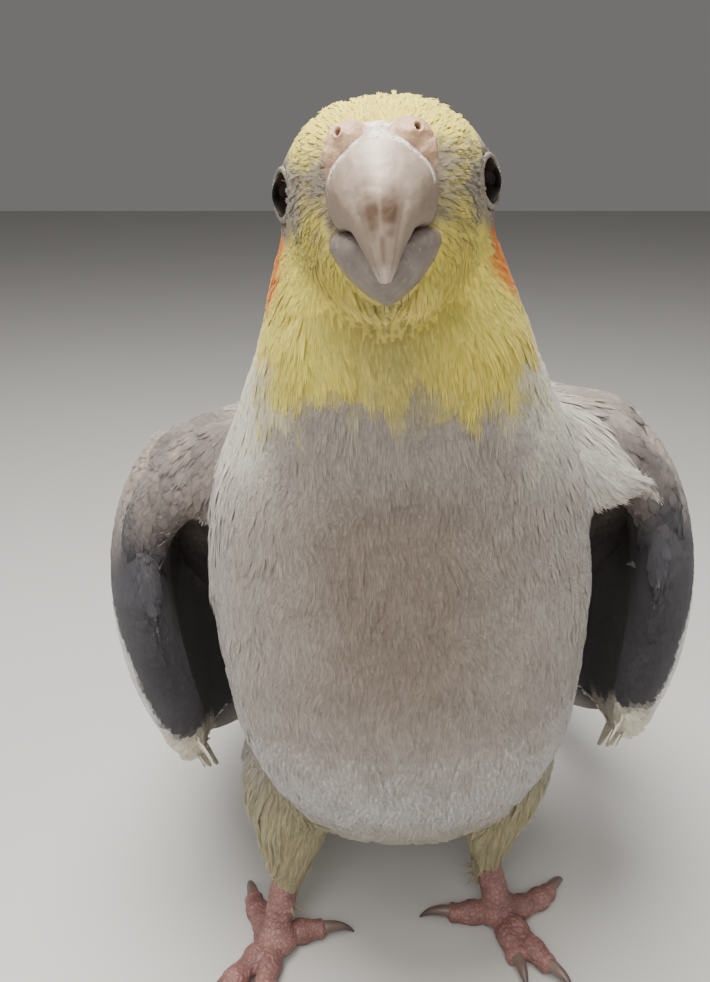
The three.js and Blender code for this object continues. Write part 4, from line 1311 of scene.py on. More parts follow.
def quill_tint(tree):
    base = group(tree, markings).outputs["Colour"]
    parts = add(tree, "ShaderNodeSeparateXYZ", None, Vector=leaf_map(tree))
    streak = span(tree, quill_barbs(tree)["Streak"], -1.4, 1.4, 0.9, 1.08)
    own = span(tree, mask_from(tree, "own"), 0, 1, 0.9, 1.1)
    off = off_shaft(tree, parts.outputs[0])
    rim = span(tree, off, 0.3, 0.5, 1.0, 1.25)
    tint = scaled(tree, base, times(tree, streak, own, rim))
    return scaled(tree, tint, span(tree, off, 0.012, 0.03, 0.55, 1.0))


def quill_height(tree):
    return quill_barbs(tree)["Height"]


quill_finish = finish("quill feathers", quill_tint, 0.55, quill_height, 0.25, 0.0001,
                      Sheen_Weight=0.15, Specular_IOR_Level=0.35)

# %% [markdown]
# The hand carries the pointed primaries, which reach the wing tip; the forearm carries the
# rounder secondaries, and the shortest, broad tertials close the wing over the back. Two rows of
# coverts overlap their roots like tiles. Each vane's lower edge stands a little over its
# neighbour below, so the tiers read as in life. A white patch crosses the lower coverts.

# %% Quills of a wing
# each row runs from a first feather to a last: where their roots and tips are along and up the wing
FLIGHT = [
    dict(count=8, roots=[[56, -11], [45, -19]], tips=[[116, -1.5], [WING_LENGTH, -7.5]],
         widths=[8.6, 8.0], bow=-2.5),
    dict(count=8, roots=[[56, 2], [57, -8.5]], tips=[[97, 5.5], [113, -0.5]],
         widths=[8.8, 8.8], bow=-1),
    dict(count=4, roots=[[44, 14], [52, 4.5]], tips=[[79, 12.2], [94, 7.5]], widths=[10.5, 9.6]),
]
FLIGHT_DARK = [1, 0.95, 0.7]
COVERTS = [
    dict(count=10, roots=[[43, 14], [44, -19]], tips=[[66, 14], [76, -15.5]], widths=[7.4, 6.6]),
    dict(count=10, roots=[[31, 17], [30, -19.5]], tips=[[50, 17], [56, -19.5]], widths=[7.8, 6.8]),
]
LOW_TIPS = dict(count=5, roots=[[15, -14], [31, -16]], tips=[[17.5, -27], [41, -28]],
                widths=[5, 5.2])


def level(along, aside):
    return 0 * along


def wing_quills(name):
    space = wing_space(name)
    made, spots = [], []

    def grow(ground, lift, spec, marks, **form):
        made.append(vane(space, ground, lift, **spec, **form))
        edge, t = made[-1][2].T
        spots.append({"dark": 0.0, "pale": 0.0, "white": 0.0, "whitish": 0.0, **marks(t, edge)})

    for tier, rows in enumerate(FLIGHT):
        def lift(t, edge):
            return 1.35 - 0.7 * edge - 2.2 * np.clip(1 - t / 0.12, 0, 1)

        def marks(t, edge):
            tip = smooth(0.9, 1, t)
            dark = np.clip(1 - 0.55 * smooth(0.5, 0.0, edge) * (tier < 2) - 0.5 * tip, 0, 1)
            return {"dark": dark * FLIGHT_DARK[tier], "pale": 0.5 * tip}

        for k, (_, spec) in enumerate(row_of(**rows)):
            grow(arm_face, lift, spec, marks, pointed=tier == 0, seed=100 * tier + k)
    for tier, rows in enumerate(COVERTS):
        for k, (share, spec) in enumerate(row_of(**rows)):
            white = smooth(0.45, 0.65, share)

            def lift(t, edge):
                along = spec["root"][0] + (spec["tip"][0] - spec["root"][0]) * t
                over = 2.9 * smooth(44, 56, along)
                return over - 1 + 1.7 * np.minimum(1, t * 2) - 0.5 * edge + 0.3 * tier

            def marks(t, edge):
                return {"dark": (1 - white) * (0.45 - 0.25 * smooth(0.7, 1, t)), "white": white}

            grow(arm_face, lift, spec, marks, rows=14, seed=500 + 100 * tier + k, nicks=2)
    for k, (_, spec) in enumerate(row_of(**LOW_TIPS)):
        def lift(t, edge):
            return 0.5 * (k % 2) - 0.25 - 0.2 * edge

        grow(level, lift, spec, lambda t, edge: {"dark": 0.08, "whitish": 0.9}, pointed=True,
             rows=14, seed=900 + k, nicks=3)
    return feathers("quills_" + name, made, quill_finish, spots)


# %% [markdown]
# The small coverts of the arm cover the rest of the blade on both faces. They come from the same
# node tree as the body's coat. Their ground is a slightly thinner copy of the blade, with
# markings of its own: light brown over the wrist and along the top, slate grey on the face that
# looks at the body, and white low on the outer face. At its low end a few cream feathers hang out
# from between the two faces.

# %% The arm under its coverts
def wing_arm(name):
    space = wing_space(name)
    share = np.linspace(0, 1, 90)
    rows = ARM(share)
    a = np.linspace(0, 2 * math.pi, 56, endpoint=False)
    high = np.maximum(rows[:, 2] - 0.9, 0.5)[:, None] * squared(np.cos(a), BLADE)
    out = np.maximum(rows[:, 3] - 0.45, 0.3)[:, None] * squared(np.sin(a), BLADE)
    along = rows[:, 0][:, None] + 0 * high
    up = rows[:, 1][:, None] + high
    arm = thing("arm_" + name, *loft(space(along, up, out)))
    root_map, _ = loft_map(a, share, high.shape, 0.48, 0.51 if name == "left" else 0.01)
    along, up, out = with_ends(along), with_ends(up), with_ends(out)
    mesh = arm.data
    normal = read(mesh, "vertices", "normal")
    at = to_bird(read(mesh))
    to_tip = unit(space(along + 1, up, out) - space(along - 1, up, out))
    outward = unit(space(along, up, out + 1) - space(along, up, out))
    outer = smooth(-0.25, 0.35, (normal * outward).sum(1))
    facing = smooth(0.1, -0.5, (normal * to_tip).sum(1))
    ruffle = 1.5 * ripple(at, 8, 41)
    rim = 8 + 5 * smooth(-6, -16, up)
    low_end = smooth(-18.8, -21, up + 0.6 * ruffle) * smooth(4, 8, along) * smooth(60, 48, along)
    white = outer * smooth(14, 7, up + ruffle) * smooth(rim, rim + 2, along + 0.3 * ruffle)
    white = white * smooth(62, 54, along) * (1 - low_end)
    dark = np.maximum(1 - outer, smooth(rim + 3, rim, along))
    dark = dark * np.maximum(0.3 + 0.7 * smooth(20, 5, up + ruffle), smooth(42, 56, along))
    dark = np.clip(dark + outer * smooth(40, 60, along) * 0.6, 0, 1) * (1 - white) * (1 - low_end)
    brown = (1 - white) * (1 - low_end) * (0.4 + 0.4 * smooth(12, -2, along))
    stray = np.stack([ripple(at, 10, seed) for seed in (44, 45, 46)], -1)
    covered = smooth(62, 52, along) * (outer > 0.5) + (outer <= 0.5) * 1.0
    size = (0.75 + 0.3 * smooth(0, 30, along)) * (1 + 0.25 * low_end)
    to_top = unit(space(along, up + 1, out) - space(along, up - 1, out))
    wrap = smooth(16, -3, along)[:, None]
    lie = unit(to_tip * (1 - 0.75 * wrap) - 0.85 * to_top * wrap + 0.12 * stray)
    ground_for(mesh, lie, covered, root_map, size, size, (outer <= 0.5).astype(int),
               white=white, dark=dark, brown=brown, whitish=0.9 * low_end)
    add_map(mesh, "OFBake", root_map[:, :2])
    mesh.materials.append(skin_finish)
    return arm


small = leaf("covert leaf", 3.6, 1.9, 5, 0.3, 0.03, seed=7, hug=0.06)
wings = []
for name in SIDE_OF:
    arm = wing_arm(name)
    quills = wing_quills(name)
    outer, inner = (scattered(f"coverts_{face}_{name}", arm.data, k, small, 0.7, 2, 1.5, 71 + k,
                              coat_finish) for k, face in enumerate(("outer", "inner")))
    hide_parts("wing_" + name)
    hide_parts("wing_" + name)
    wings += [arm, quills, outer, inner]
    print(outer.name, len(outer.data.polygons), inner.name, len(inner.data.polygons))

# %% [markdown]
# ## The tail
# Twelve feathers stand in pairs under one another: the middle pair is the longest and lies on
# top, and each pair below is shorter and spreads a little further. The rump feathers run out over
# their roots, and the under tail coverts close them from below.

# %% Tail feathers
TAIL_LINE, TAIL_RUN = evenly(curve([
    [0, 30, 39],
    [0, 63, 33],
    [0, 103, 22],
    [0, 143, 11],
    [0, 172, 4],
    [0, 199, 0.1],
]))
TAIL_LENGTH = 169.0
# rows of: how far along, the middle, half the width and half the height
RUMP = curve([[2, -4.5, 12.5, 10.5], [14, -4, 12.5, 9.5], [32, -3, 10, 6.4], [50, -2.2, 7, 4]])
PAIR_STEP = 0.9


def ridge_space(line, length):
    """A place from how far along a line it is, how far aside, and how far up off it."""
    def place(along, aside, up):
        along, aside, up = np.broadcast_arrays(*(np.asarray(v, float) for v in (along, aside, up)))
        share = np.clip(along / length, 0, 1)
        back = heading(line, share)
        rise = np.stack([0 * share, -back[..., 2], back[..., 1]], -1)
        return line(share) + aside[..., None] * ACROSS + up[..., None] * rise

    return place


def tail_space(along, aside, up):
    """The tail's own space, kept just above the floor."""
    p = ridge_space(TAIL_LINE, TAIL_RUN)(along, aside, up)
    p[..., 2] = np.maximum(p[..., 2], 0.05)
    return p


made, spots = [], []
for pair in range(6):
    share = pair / 5
    for side in (-1, 1):
        width = 8.6 - 0.8 * share
        inner = width / 2 + 0.2

        def lift(t, edge):
            return -PAIR_STEP * pair - 0.09 * (width / 2) * edge * side - 0.12 * (side > 0)

        root = [26, side * inner * (1 - 0.1 * share)]
        tip = [TAIL_LENGTH - (TAIL_LENGTH - 100) * share**0.85, side * (inner - 3.2 + 10.7 * share)]
        bow = side * (0.6 - 0.4 * share)
        made.append(vane(tail_space, level, lift, root, tip, width, bow, True, rows=34,
                         seed=200 + 10 * pair + side, nicks=5))
        edge, t = made[-1][2].T
        outer = smooth(0.5, 0.62, edge if side > 0 else 1 - edge)
        bars = 0.5 + 0.5 * np.sin(t * 75)
        dark = np.clip(0.55 - 0.5 * share * outer, 0, 1) * (1 - 0.25 * smooth(0.93, 1, t))
        spots.append({"dark": dark, "yellow": 0.6 * share * outer * (0.5 + 0.5 * bars),
                      "pale": 0.3 * share * outer})
tail = feathers("tail_feathers", made, quill_finish, spots)
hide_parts("tail")

# %% The rump and the coverts of the tail
share = np.linspace(0, 1, 40)
rows = RUMP(share)
a = np.linspace(0, 2 * math.pi, 44, endpoint=False)
aside = np.maximum(rows[:, 2] - 1, 0.5)[:, None] * squared(np.cos(a), BLADE)
up = rows[:, 1][:, None] + np.maximum(rows[:, 3] - 1, 0.5)[:, None] * squared(np.sin(a), BLADE)
along = rows[:, 0][:, None] + 0 * up
rump = thing("rump", *loft(tail_space(along, aside, up)))
mesh = rump.data
root_map, v = loft_map(a, share, up.shape)
over = smooth(-0.2, 0.4, read(mesh, "vertices", "normal")[:, 2])
ground_for(mesh, np.broadcast_to([0, 0.93, -0.28], (len(v), 3)), smooth(0.08, 0.16, v), root_map,
           1 + 0.35 * v, pale=0.5 * (1 - over), brown=0.25 * over)
add_map(mesh, "OFBake", root_map[:, :2])
mesh.materials.append(skin_finish)
tail_coverts = scattered("coverts_tail", mesh, 0, broad, 1.25, 6, 5, 81, coat_finish)
print("tail coverts:", len(tail_coverts.data.polygons))

# %% [markdown]
# ## The crest
# The crest grows from the forehead back to the crown. Its feathers are narrow and limp-edged, the
# longest at the back, and at rest they lie on each other and only lift at their tips.

# %% Crest feathers
CREST_LINE, CREST_RUN = evenly(curve([
    [0, 4, 8],
    [0, 10, 8],
    [0, 17, 7.4],
    [0, 26, 7.7],
    [0, 35, 9.6],
    [0, 44, 12.8],
]))


def crest_space(along, aside, up):
    return from_face(ridge_space(CREST_LINE, CREST_RUN)(along, aside, up))


made, spots = [], []
# how far back a tier's roots are, its length, and how far aside each of its feathers is
TIERS = [
    (6, 35, [0, -1.3, 1.3, -2.6, 2.6]),
    (5, 31, [-0.7, 0.7, -2.0, 2.0]),
    (4, 27, [0, -1.4, 1.4, -2.8, 2.8]),
    (2.5, 23, [-0.8, 0.8, -2.2, 2.2]),
    (1, 19, [0, -1.5, 1.5, -3, 3]),
    (-1, 15, [-0.8, 0.8, -2.3, 2.3]),
    (-3, 12, [0, -1.6, 1.6]),
    (-5, 10, [-0.9, 0.9, -2.4, 2.4]),
]
for tier, (back, length, asides) in enumerate(TIERS):
    for aside in asides:
        def lift(t, edge):
            rise = 0.26 * tier * (1 - 0.5 * t) + 0.25 * math.sin(5 * aside + tier) * t
            return rise - 0.85 - 0.8 * (t < 0.05) - 0.15 * edge**2 - 0.09 * aside**2
        tip = [back + length - 3 * abs(aside), aside * 0.6]
        made.append(vane(crest_space, level, lift, [back, aside * 0.9], tip, 2.0, aside * 0.1, True,
                         rows=16, seed=int(300 + 10 * tier + 3 * aside), thick=0.08))
        t = made[-1][2][:, 1]
        spots.append({"yellow": 0.95 - 0.25 * t * (tier < 2), "pale": 0.5 * t * (tier < 2)})
crest = feathers("crest_feathers", made, quill_finish, spots)
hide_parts("crest")

# %% [markdown]
# ## The bill
# The upper bill hooks over the lower one, which shows on both sides of it as a broad lip. Both
# are lofts with a keeled side and a flat side, made here with many more rings than the solids
# have, so that a raised middle plate, the notch behind the tip and fine growth lines can be
# worked into them.

# %% Horn
# rows of: how far ahead and up the ridge is, the same of the lower edge, and half the width
UPPER_BILL = [
    [9.5, 2, 8.5, -6, 4.6],
    [13, 3.4, 11, -6.5, 5.2],
    [16, 2.6, 13.6, -6.5, 5.1],
    [18.6, 0.3, 15.4, -6.3, 4.3],
    [20, -3, 16.2, -6.6, 3.2],
    [19.8, -6.4, 16.4, -7.9, 2.1],
    [18.6, -9, 16.4, -9.4, 1.25],
    [17, -10.8, 16.2, -10.6, 0.5],
]
# rows of: how far ahead, the height of the rim and of the keel, and half the width
LOWER_BILL = [
    [7, -5.5, -11, 4.9],
    [9.6, -5.2, -12.3, 5.45],
    [12, -5.3, -12.7, 5.3],
    [14, -5.6, -12.5, 4.75],
    [15.6, -6.3, -11.6, 3.6],
    [16.6, -7.2, -10.4, 1.8],
]


def horn_rings(top, bottom, width, points, keel_full=1.75, widest=0.5):
    """Rings between two edges, widest at this share of the way from the bottom to the top."""
    middle = top * widest + bottom * (1 - widest)
    a = np.linspace(0, 2 * math.pi, points, endpoint=False)
    full = np.where(np.sin(a) > 0, keel_full, 3.2)
    side, high = squared(np.cos(a), full), squared(np.sin(a), full)
    rise = np.where((high > 0)[None, :, None], (top - middle)[:, None], (middle - bottom)[:, None])
    rings = middle[:, None] + (width[:, None] * side)[..., None] * ACROSS
    return rings + high[None, :, None] * rise, side, high


def horn_piece(name, rings, relief, material, **marks):
    """A bill from its rings in the face's frame, with a relief in millimetres on its surface."""
    made = thing(name, *loft(from_face(rings)))
    out = read(made.data, "vertices", "normal")
    more = np.append(relief.ravel(), [0, 0])
    moved(made, read(made.data) + out * more[:, None] / 1000)
    note(made.data, **{key: with_ends(value) for key, value in marks.items()})
    made.data.materials.append(material)
    print(name, len(made.data.polygons), "faces")
    return made


def bill_tint(tree):
    run, off = mask_from(tree, "run"), mask_from(tree, "off")
    tint = two_tones(tree, 330, 3.0, (152, 134, 118), (176, 158, 141))
    # painted shade: darker down the sides and over the under face of the upper bill
    tint = mix(tree, span(tree, off, 0.45, 0.95, 0.0, 0.7), tint, colour(124, 107, 91))
    # painted highlight: a pale band down the middle of the ridge
    tint = mix(tree, span(tree, off, 0.34, 0.03, 0.0, 0.7), tint, colour(208, 186, 162))
    stain = times(tree, mask_from(tree, "stain"), span(tree, noise(tree, 520, 3.0), 0.12, 0.38))
    tint = mix(tree, stain, tint, colour(98, 74, 56))
    tint = mix(tree, span(tree, run, 0.86, 0.97, 0.0, 0.6), tint, colour(208, 190, 178))
    worn = times(tree, mask_from(tree, "worn"), span(tree, noise(tree, 800, 3.0), 0.35, 0.6))
    tint = mix(tree, worn, tint, colour(232, 226, 216))
    # painted shade: the under face of the upper bill dark where it closes over the lower bill
    return mix(tree, mask_from(tree, "gape"), tint, colour(60, 42, 36))


def bill_height(tree):
    fine = noise(tree, 1500, 3.0)
    return math_of(tree, "MULTIPLY_ADD", noise(tree, 500, 4.0), 2.0, fine)


def lip_tint(tree):
    tint = two_tones(tree, 420, 3.0, (104, 94, 86), (138, 126, 117))
    tint = flecks(tree, tint, 1400, 0.58, 0.16, (186, 178, 172))
    # painted shade: the top face of the lower bill dark, as the line between the two bills
    return mix(tree, mask_from(tree, "gape"), tint, colour(70, 50, 46))


def bill_rough(tree):
    return span(tree, noise(tree, 400), 0.3, 0.7, 0.4, 0.56)


bill_finish = finish("bill horn", bill_tint, bill_rough, bill_height, 0.35, 0.0002,
                     Coat_Weight=0.06, Coat_Roughness=0.35, Subsurface_Weight=0.04,
                     Subsurface_Scale=0.0015)
lip_finish = finish("lower bill horn", lip_tint, 0.45, bill_height, 0.35, 0.0002, Coat_Weight=0.1,
                    Coat_Roughness=0.3)

# %% The upper bill
# how far along the horn its worn edge runs, just in front of the bulbs
WORN_AT = 0.335
t = np.linspace(0, 1, 110)
ridge = curve([[0, -a, u] for a, u, _, _, _ in UPPER_BILL])(t)
edge = curve([[0, -a, u] for _, _, a, u, _ in UPPER_BILL])(t)
width = curve([[row[4], 0, 0] for row in UPPER_BILL])(t)[:, 0]
rings, side, high = horn_rings(ridge, edge, width, 96)
run = np.broadcast_to(t[:, None], rings.shape[:2])
off = np.broadcast_to(np.abs(side), run.shape)
top = np.broadcast_to(high > 0, run.shape)
plate = smooth(0.62, 0.5, off) * top * smooth(0.12, 0.2, run) * smooth(0.72, 0.6, run)
lines = np.sin(run * 120 + 3 * np.sin(off * 5)) * 0.012
crease = -0.16 * bell(off - 0.72, 0.07) * smooth(0.5, 0.62, run) * top
relief = 0.1 * plate + lines + crease + 0.03 * ripple(rings, 1.6, 51) * smooth(0.02, 0.2, run)
blotches = (0.55 + 0.9 * bell(off - 0.26, 0.2)) * smooth(0.8, 0.45, off)
blotches = np.minimum(blotches * np.where(side > 0, 1.1, 0.9), 1)
stain = bell(run - 0.645 + 0.02 * ripple(rings, 1.3, 58), 0.085) * blotches * top
below = smooth(0.68, 0.75, run) * smooth(0.92, 0.84, run)
stain = np.maximum(stain, 0.75 * bell(off, 0.22) * below)
worn = bell(run - WORN_AT - 0.006 * ripple(rings, 1.2, 55), 0.014) * top
worn = np.maximum(worn, 0.9 * smooth(0.4, 0.3, run) * smooth(0.3, 0.05, off) * top)
# painted shade on the under face of the upper bill, towards its root
gape = smooth(-0.8, -0.9, high)[None, :] * smooth(0.72, 0.62, run)
bill_upper = horn_piece("upper_bill", rings, relief, bill_finish, run=run, stain=stain, worn=worn,
                        off=np.where(top, off, 1.0), gape=gape)

# %% The lower bill
t = np.linspace(0, 1, 80)
rim = curve([[0, -a, u] for a, u, _, _ in LOWER_BILL])(t)
keel = curve([[0, -a, u] for a, _, u, _ in LOWER_BILL])(t)
width = curve([[row[3], 0, 0] for row in LOWER_BILL])(t)[:, 0]
rings, side, high = horn_rings(keel, rim, width, 80, 1.4, 0.22)
run = np.broadcast_to(t[:, None], rings.shape[:2])
# painted shade on the top face of the lower bill, where it lies under the upper one
inner = np.broadcast_to(smooth(-0.84, -0.98, high), run.shape)
relief = 0.035 * ripple(rings, 1.5, 52) + 0.015 * np.sin(run * 70)
bill_lower = horn_piece("lower_bill", rings, relief, lip_finish, run=run, gape=inner)
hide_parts("bill_upper")
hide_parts("bill_lower")

# %% [markdown]
# ## The cere
# Over the root of the bill lie two fleshy bulbs, each with a nostril that opens forwards and
# outwards inside a soft rim. Balls melted by a voxel remesh give the swollen form, and the
# nostrils are pushed in along their own axes afterwards, so that they are real hollows.

# %% Bulbs and nostrils
CERE_GRAIN = 0.00014
# rows of: how far out, ahead and up a ball is, and its half sizes
SADDLE = (0, 12.8, 2.3, [3.4, 2.4, 1.7])
BULB = [
    (2.5, 13.4, 1.9, [2.15, 2.9, 2.2]),
    (2.75, 14.2, 2.0, [2.2, 2.5, 1.9]),
    (3.8, 14.2, 0.9, [1.5, 2.0, 1.7]),
    (4.4, 13.8, -0.3, [0.8, 1.5, 1.1]),
]
NOSTRIL = {"at": [3.5, -16.2, 2.6], "way": [0.3, -0.9, 0.35]}


def ball(out, ahead, up, size):
    return loft(from_face(ball_rings(26, 36) * size + [out, -ahead, up]))


parts = [ball(*SADDLE)] + [ball(side * out, *rest) for side in (-1, 1) for out, *rest in BULB]
cere = thing("bulbs", *together(parts))
melted(cere, CERE_GRAIN, 0.6, 8)
place_of = to_face(to_bird(read(cere.data)))
out = read(cere.data, "vertices", "normal")
move = 0.05 * ripple(place_of, 1.1, 53) + 0.02 * ripple(place_of, 0.5, 54)
hollow = np.zeros(len(place_of))
inward = np.zeros_like(place_of)
for side in (-1, 1):
    axis = unit(np.array(NOSTRIL["way"]) * [side, 1, 1])
    away = place_of - np.array(NOSTRIL["at"]) * [side, 1, 1]
    along = away @ axis
    flat = away - along[:, None] * axis
    r = np.linalg.norm(flat * [1.4, 1, 1.1], axis=1) * 1.45
    near = np.abs(along) < 2.0
    move += 0.22 * bell(r - 0.85, 0.28) * near
    deep = smooth(0.62, 0.3, r) * near
    # painted shade inside each nostril
    hollow = np.maximum(hollow, smooth(0.66, 0.42, r) * near)
    inward += -1.5 * deep[:, None] * axis
face_to_room = (TRUNK_TURN @ FACE_TURN).T / 1000
moved(cere, read(cere.data) + out * move[:, None] / 1000 + inward @ face_to_room)
flaky = smooth(1.7, 0.3, np.abs(place_of[:, 0]) + 0.3 * ripple(place_of, 1.0, 56))
flaky = flaky * (place_of[:, 1] < -13)
note(cere.data, hollow=hollow, flaky=flaky)


def cere_tint(tree):
    tint = two_tones(tree, 500, 4.0, (180, 142, 112), (202, 168, 136))
    tint = flecks(tree, tint, 1800, 0.6, 0.35, (236, 222, 208))
    flaky = times(tree, mask_from(tree, "flaky"), span(tree, noise(tree, 900, 4.0), 0.4, 0.55))
    tint = mix(tree, flaky, tint, colour(238, 232, 224))
    # painted shade: the nostrils dark inside
    return mix(tree, mask_from(tree, "hollow"), tint, colour(62, 40, 36))


def skin_pores(tree):
    return math_of(tree, "MULTIPLY_ADD", noise(tree, 700, 3.0), 1.2, cells(tree, 3200))


cere.data.materials.append(finish("cere skin", cere_tint, 0.55, skin_pores, 0.3, 0.00012,
                                  Subsurface_Weight=0.12, Subsurface_Scale=0.0015))
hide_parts("cere")
print("cere:", len(cere.data.polygons), "faces")

# %% [markdown]
# Dry skin flakes off where the horn comes out from under the bulbs. The flakes are tiny curled
# leaves, set over the same band of the horn by the coat's node tree, with a chalky finish.

# %% Flakes along the edge of the bulbs
flake = leaf("flake leaf", 0.42, 0.15, 2, 0.4, 0.1, seed=9, thick=0.1)
flake_ground = bill_upper.data.copy()
marks = {}
for key in ("run", "off"):
    kept = np.zeros(len(flake_ground.vertices))
    flake_ground.attributes[key].data.foreach_get("value", kept)
    marks[key] = kept
p = to_face(to_bird(read(flake_ground)))
band = bell(marks["run"] - WORN_AT - 0.006 * ripple(p, 1.5, 57), 0.016)
band = band * smooth(0.98, 0.9, marks["off"])
saddle = smooth(0.36, 0.3, marks["run"]) * smooth(0.42, 0.25, marks["off"])
spread_of = np.stack([np.sign(p[:, 0]) * 0.5, 0 * p[:, 0] - 0.5, 0 * p[:, 0] - 0.6], -1)
spread_of += 1.2 * np.stack([ripple(p, 0.8, seed) for seed in (61, 62, 63)], -1)
root_map = np.stack([marks["run"], marks["off"], 0 * p[:, 0]], -1)
ground_for(flake_ground, unit(spread_of), np.clip(band + saddle, 0, 1), root_map)
flake_finish = finish(
    "dry flakes", lambda tree: mix(tree, mask_from(tree, "own"), colour(196, 180, 164),
                                   colour(228, 218, 206)), 0.85)
flakes = scattered("bill_flakes", flake_ground, 0, flake, 0.14, 5, 9, 92, flake_finish)
print("flakes:", len(flakes.data.polygons))

# %% [markdown]
# ## The eyes
# Each eye is a dark ball set deep in the head, with a slightly swollen cornea. Round it runs a
# bare, pale lid with a beaded margin. The skin dips under the lid, so the ball really sits in a
# socket.

# %% Eyes and lids
def eyeball(name, side):
    middle, axis = eye_frame(side)
    level_way = unit(np.cross(UP, axis))
    a = np.linspace(0.02, math.pi - 0.02, 60)
    size = EYE["radius"] + 0.18 * smooth(0.62, 0.1, a)
    b = np.linspace(0, 2 * math.pi, 56, endpoint=False)
    rings = middle + (size * np.cos(a))[:, None, None] * axis
    round_it = np.cos(b)[:, None] * level_way + np.sin(b)[:, None] * UP
    rings = rings + (size * np.sin(a))[:, None, None] * round_it
    made = thing(name, *loft(from_face(rings)))
    note(made.data, off=np.append(np.repeat(a, len(b)), [0, math.pi]))
    made.data.materials.append(eye_finish)
    return made


def lid(name, side):
    middle, axis = eye_frame(side)
    level_way = unit(np.cross(UP, axis))
    b = np.linspace(0, 2 * math.pi, 144, endpoint=False)
    ring_way = np.cos(b)[:, None] * level_way * 0.98 + np.sin(b)[:, None] * UP * 1.08
    a = np.linspace(0, 2 * math.pi, 18, endpoint=False)
    beads = 1 + 0.13 * np.sin(b * 34)[:, None] * (np.cos(a - 2.6) > 0.2)[None, :]
    thick = 0.23 * beads * (1 + 0.12 * np.sin(3 * b + side)[:, None])
    centre = middle + EYE["lid_out"] * axis + EYE["lid"] * ring_way
    rings = centre[:, None] + (thick * np.cos(a)[None, :])[..., None] * ring_way[:, None] * 1.25
    rings = rings + (thick * np.sin(a)[None, :])[..., None] * axis
    n, m = rings.shape[:2]
    i, j = np.meshgrid(np.arange(n), np.arange(m), indexing="ij")
    here, there, after = i * m, (i + 1) % n * m, (j + 1) % m
    quads = np.stack([here + j, here + after, there + after, there + j], -1).reshape(-1, 4)
    made = thing(name, from_face(rings).reshape(-1, 3), [tuple(quad) for quad in quads.tolist()])
    made.data.materials.append(lid_finish)
    return made


def eye_tint(tree):
    off = mask_from(tree, "off")
    ring = times(tree, span(tree, off, 0.3, 0.34), span(tree, off, 0.62, 0.56))
    iris = mix(tree, noise(tree, 1600), colour(10, 6, 5), colour(24, 14, 10))
    return mix(tree, ring, colour(4, 3, 3), iris)


eye_finish = finish("dark eye", eye_tint, 0.05, IOR=1.14)
lid_finish = finish(
    "bare lid", lambda tree: two_tones(tree, 900, 3.0, (104, 97, 87), (136, 128, 116)), 0.6,
    skin_pores, 0.4, 0.0001)
eyes, lids = [], []
for name, side in SIDE_OF.items():
    eyes.append(eyeball("eyeball_" + name, side))
    lids.append(lid("lid_" + name, side))
    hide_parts("eye_" + name)
print("eyeballs and lids:", [len(piece.data.polygons) for piece in eyes + lids])

# %% [markdown]
# Between the bill and the eyes the feathering is thin. The pale skin shows there, and the shafts
# of the short feathers stand as dark hairs that spray out from the bill, with a few more under
# the chin. They are the thinnest leaves of all, scattered over the same skin with a dark horn
# finish.

# %% Dark shafts on the face
hair = leaf("hair leaf", 3.4, 0.085, 2, 0.3, 0.04, seed=8, thick=0.4)
face_ground = skin.data.copy()
chin = np.exp(-(((f - [0, -11.5, -13.5]) / [1.6, 2.6, 2.4]) ** 2).sum(1))
hairy = smooth(12.5, 7.5, np.linalg.norm((f - [0, -11, -1]) * [0.95, 0.8, 0.9], axis=1))
hairy = hairy * smooth(2.6, 3.4, eye_off) * smooth(4.5, 1.5, f[:, 2]) * smooth(-9.5, -7, f[:, 2])
hairy = np.clip(hairy + chin, 0, 1)
for key in ("keep", "long", "region"):
    face_ground.attributes.remove(face_ground.attributes[key])
note(face_ground, keep=hairy, long=0.75 + 0 * hairy, region=(hairy > 0.02).astype(int))
hair_finish = finish("dark shafts", lambda tree: mix(tree, noise(tree, 300), colour(72, 65, 57),
                                                     colour(112, 103, 88)), 0.6)
hairs = scattered("face_shafts", face_ground, 1, hair, 0.7, 7, 9, 91, hair_finish)
print("faces of the shafts:", len(hairs.data.polygons))

# %% [markdown]
# ## The feet
# Two toes point forwards and two back, and the bird grips with pads of soft, wrinkled pink skin.
# Each toe is a tube swollen at its joints. A voxel remesh melts toes, sole and shank into one
# foot, which is then flattened where it rests on the floor. Rows of small scutes on top are
# worked into the surface and its bump.

# %% Toes
FOOT_GRAIN = 0.0003
# how long each toe is, and how many joints it swells at
TOES = {"outer_front": (15, 3), "inner_front": (11.5, 2),
        "outer_rear": (12.5, 3), "inner_rear": (9.5, 2)}
TOE_RADIUS, TOE_TIP_HEIGHT = 2.1, 1.75
CLAW = {"length": 5, "radius": 1.15, "drop": 1.2}


def toe_point(foot, name, reach, height):
    first, last = foot["toes"][name]
    length = TOES[name][0]
    steps = (np.arange(8) + 0.5) / 8
    share = np.minimum(1, reach * steps / length)
    turned = np.radians(first + (last - first) * share)
    x = foot["at"][0] + foot["side"] * np.sin(turned).mean() * reach
    y = foot["at"][1] - np.cos(turned).mean() * reach
    return np.array([x, y, height])


def rod(line, radius, rings, points):
    t = np.linspace(0, 1, rings)
    along = heading(line, t)
    across = unit(np.cross(along, np.where(np.abs(along[:, 2:3]) > 0.9, ACROSS, UP)))
    over = np.cross(across, along)
    return loft(oval(line(t), across, over, radius(t), radius(t), radius(t), points, 2))


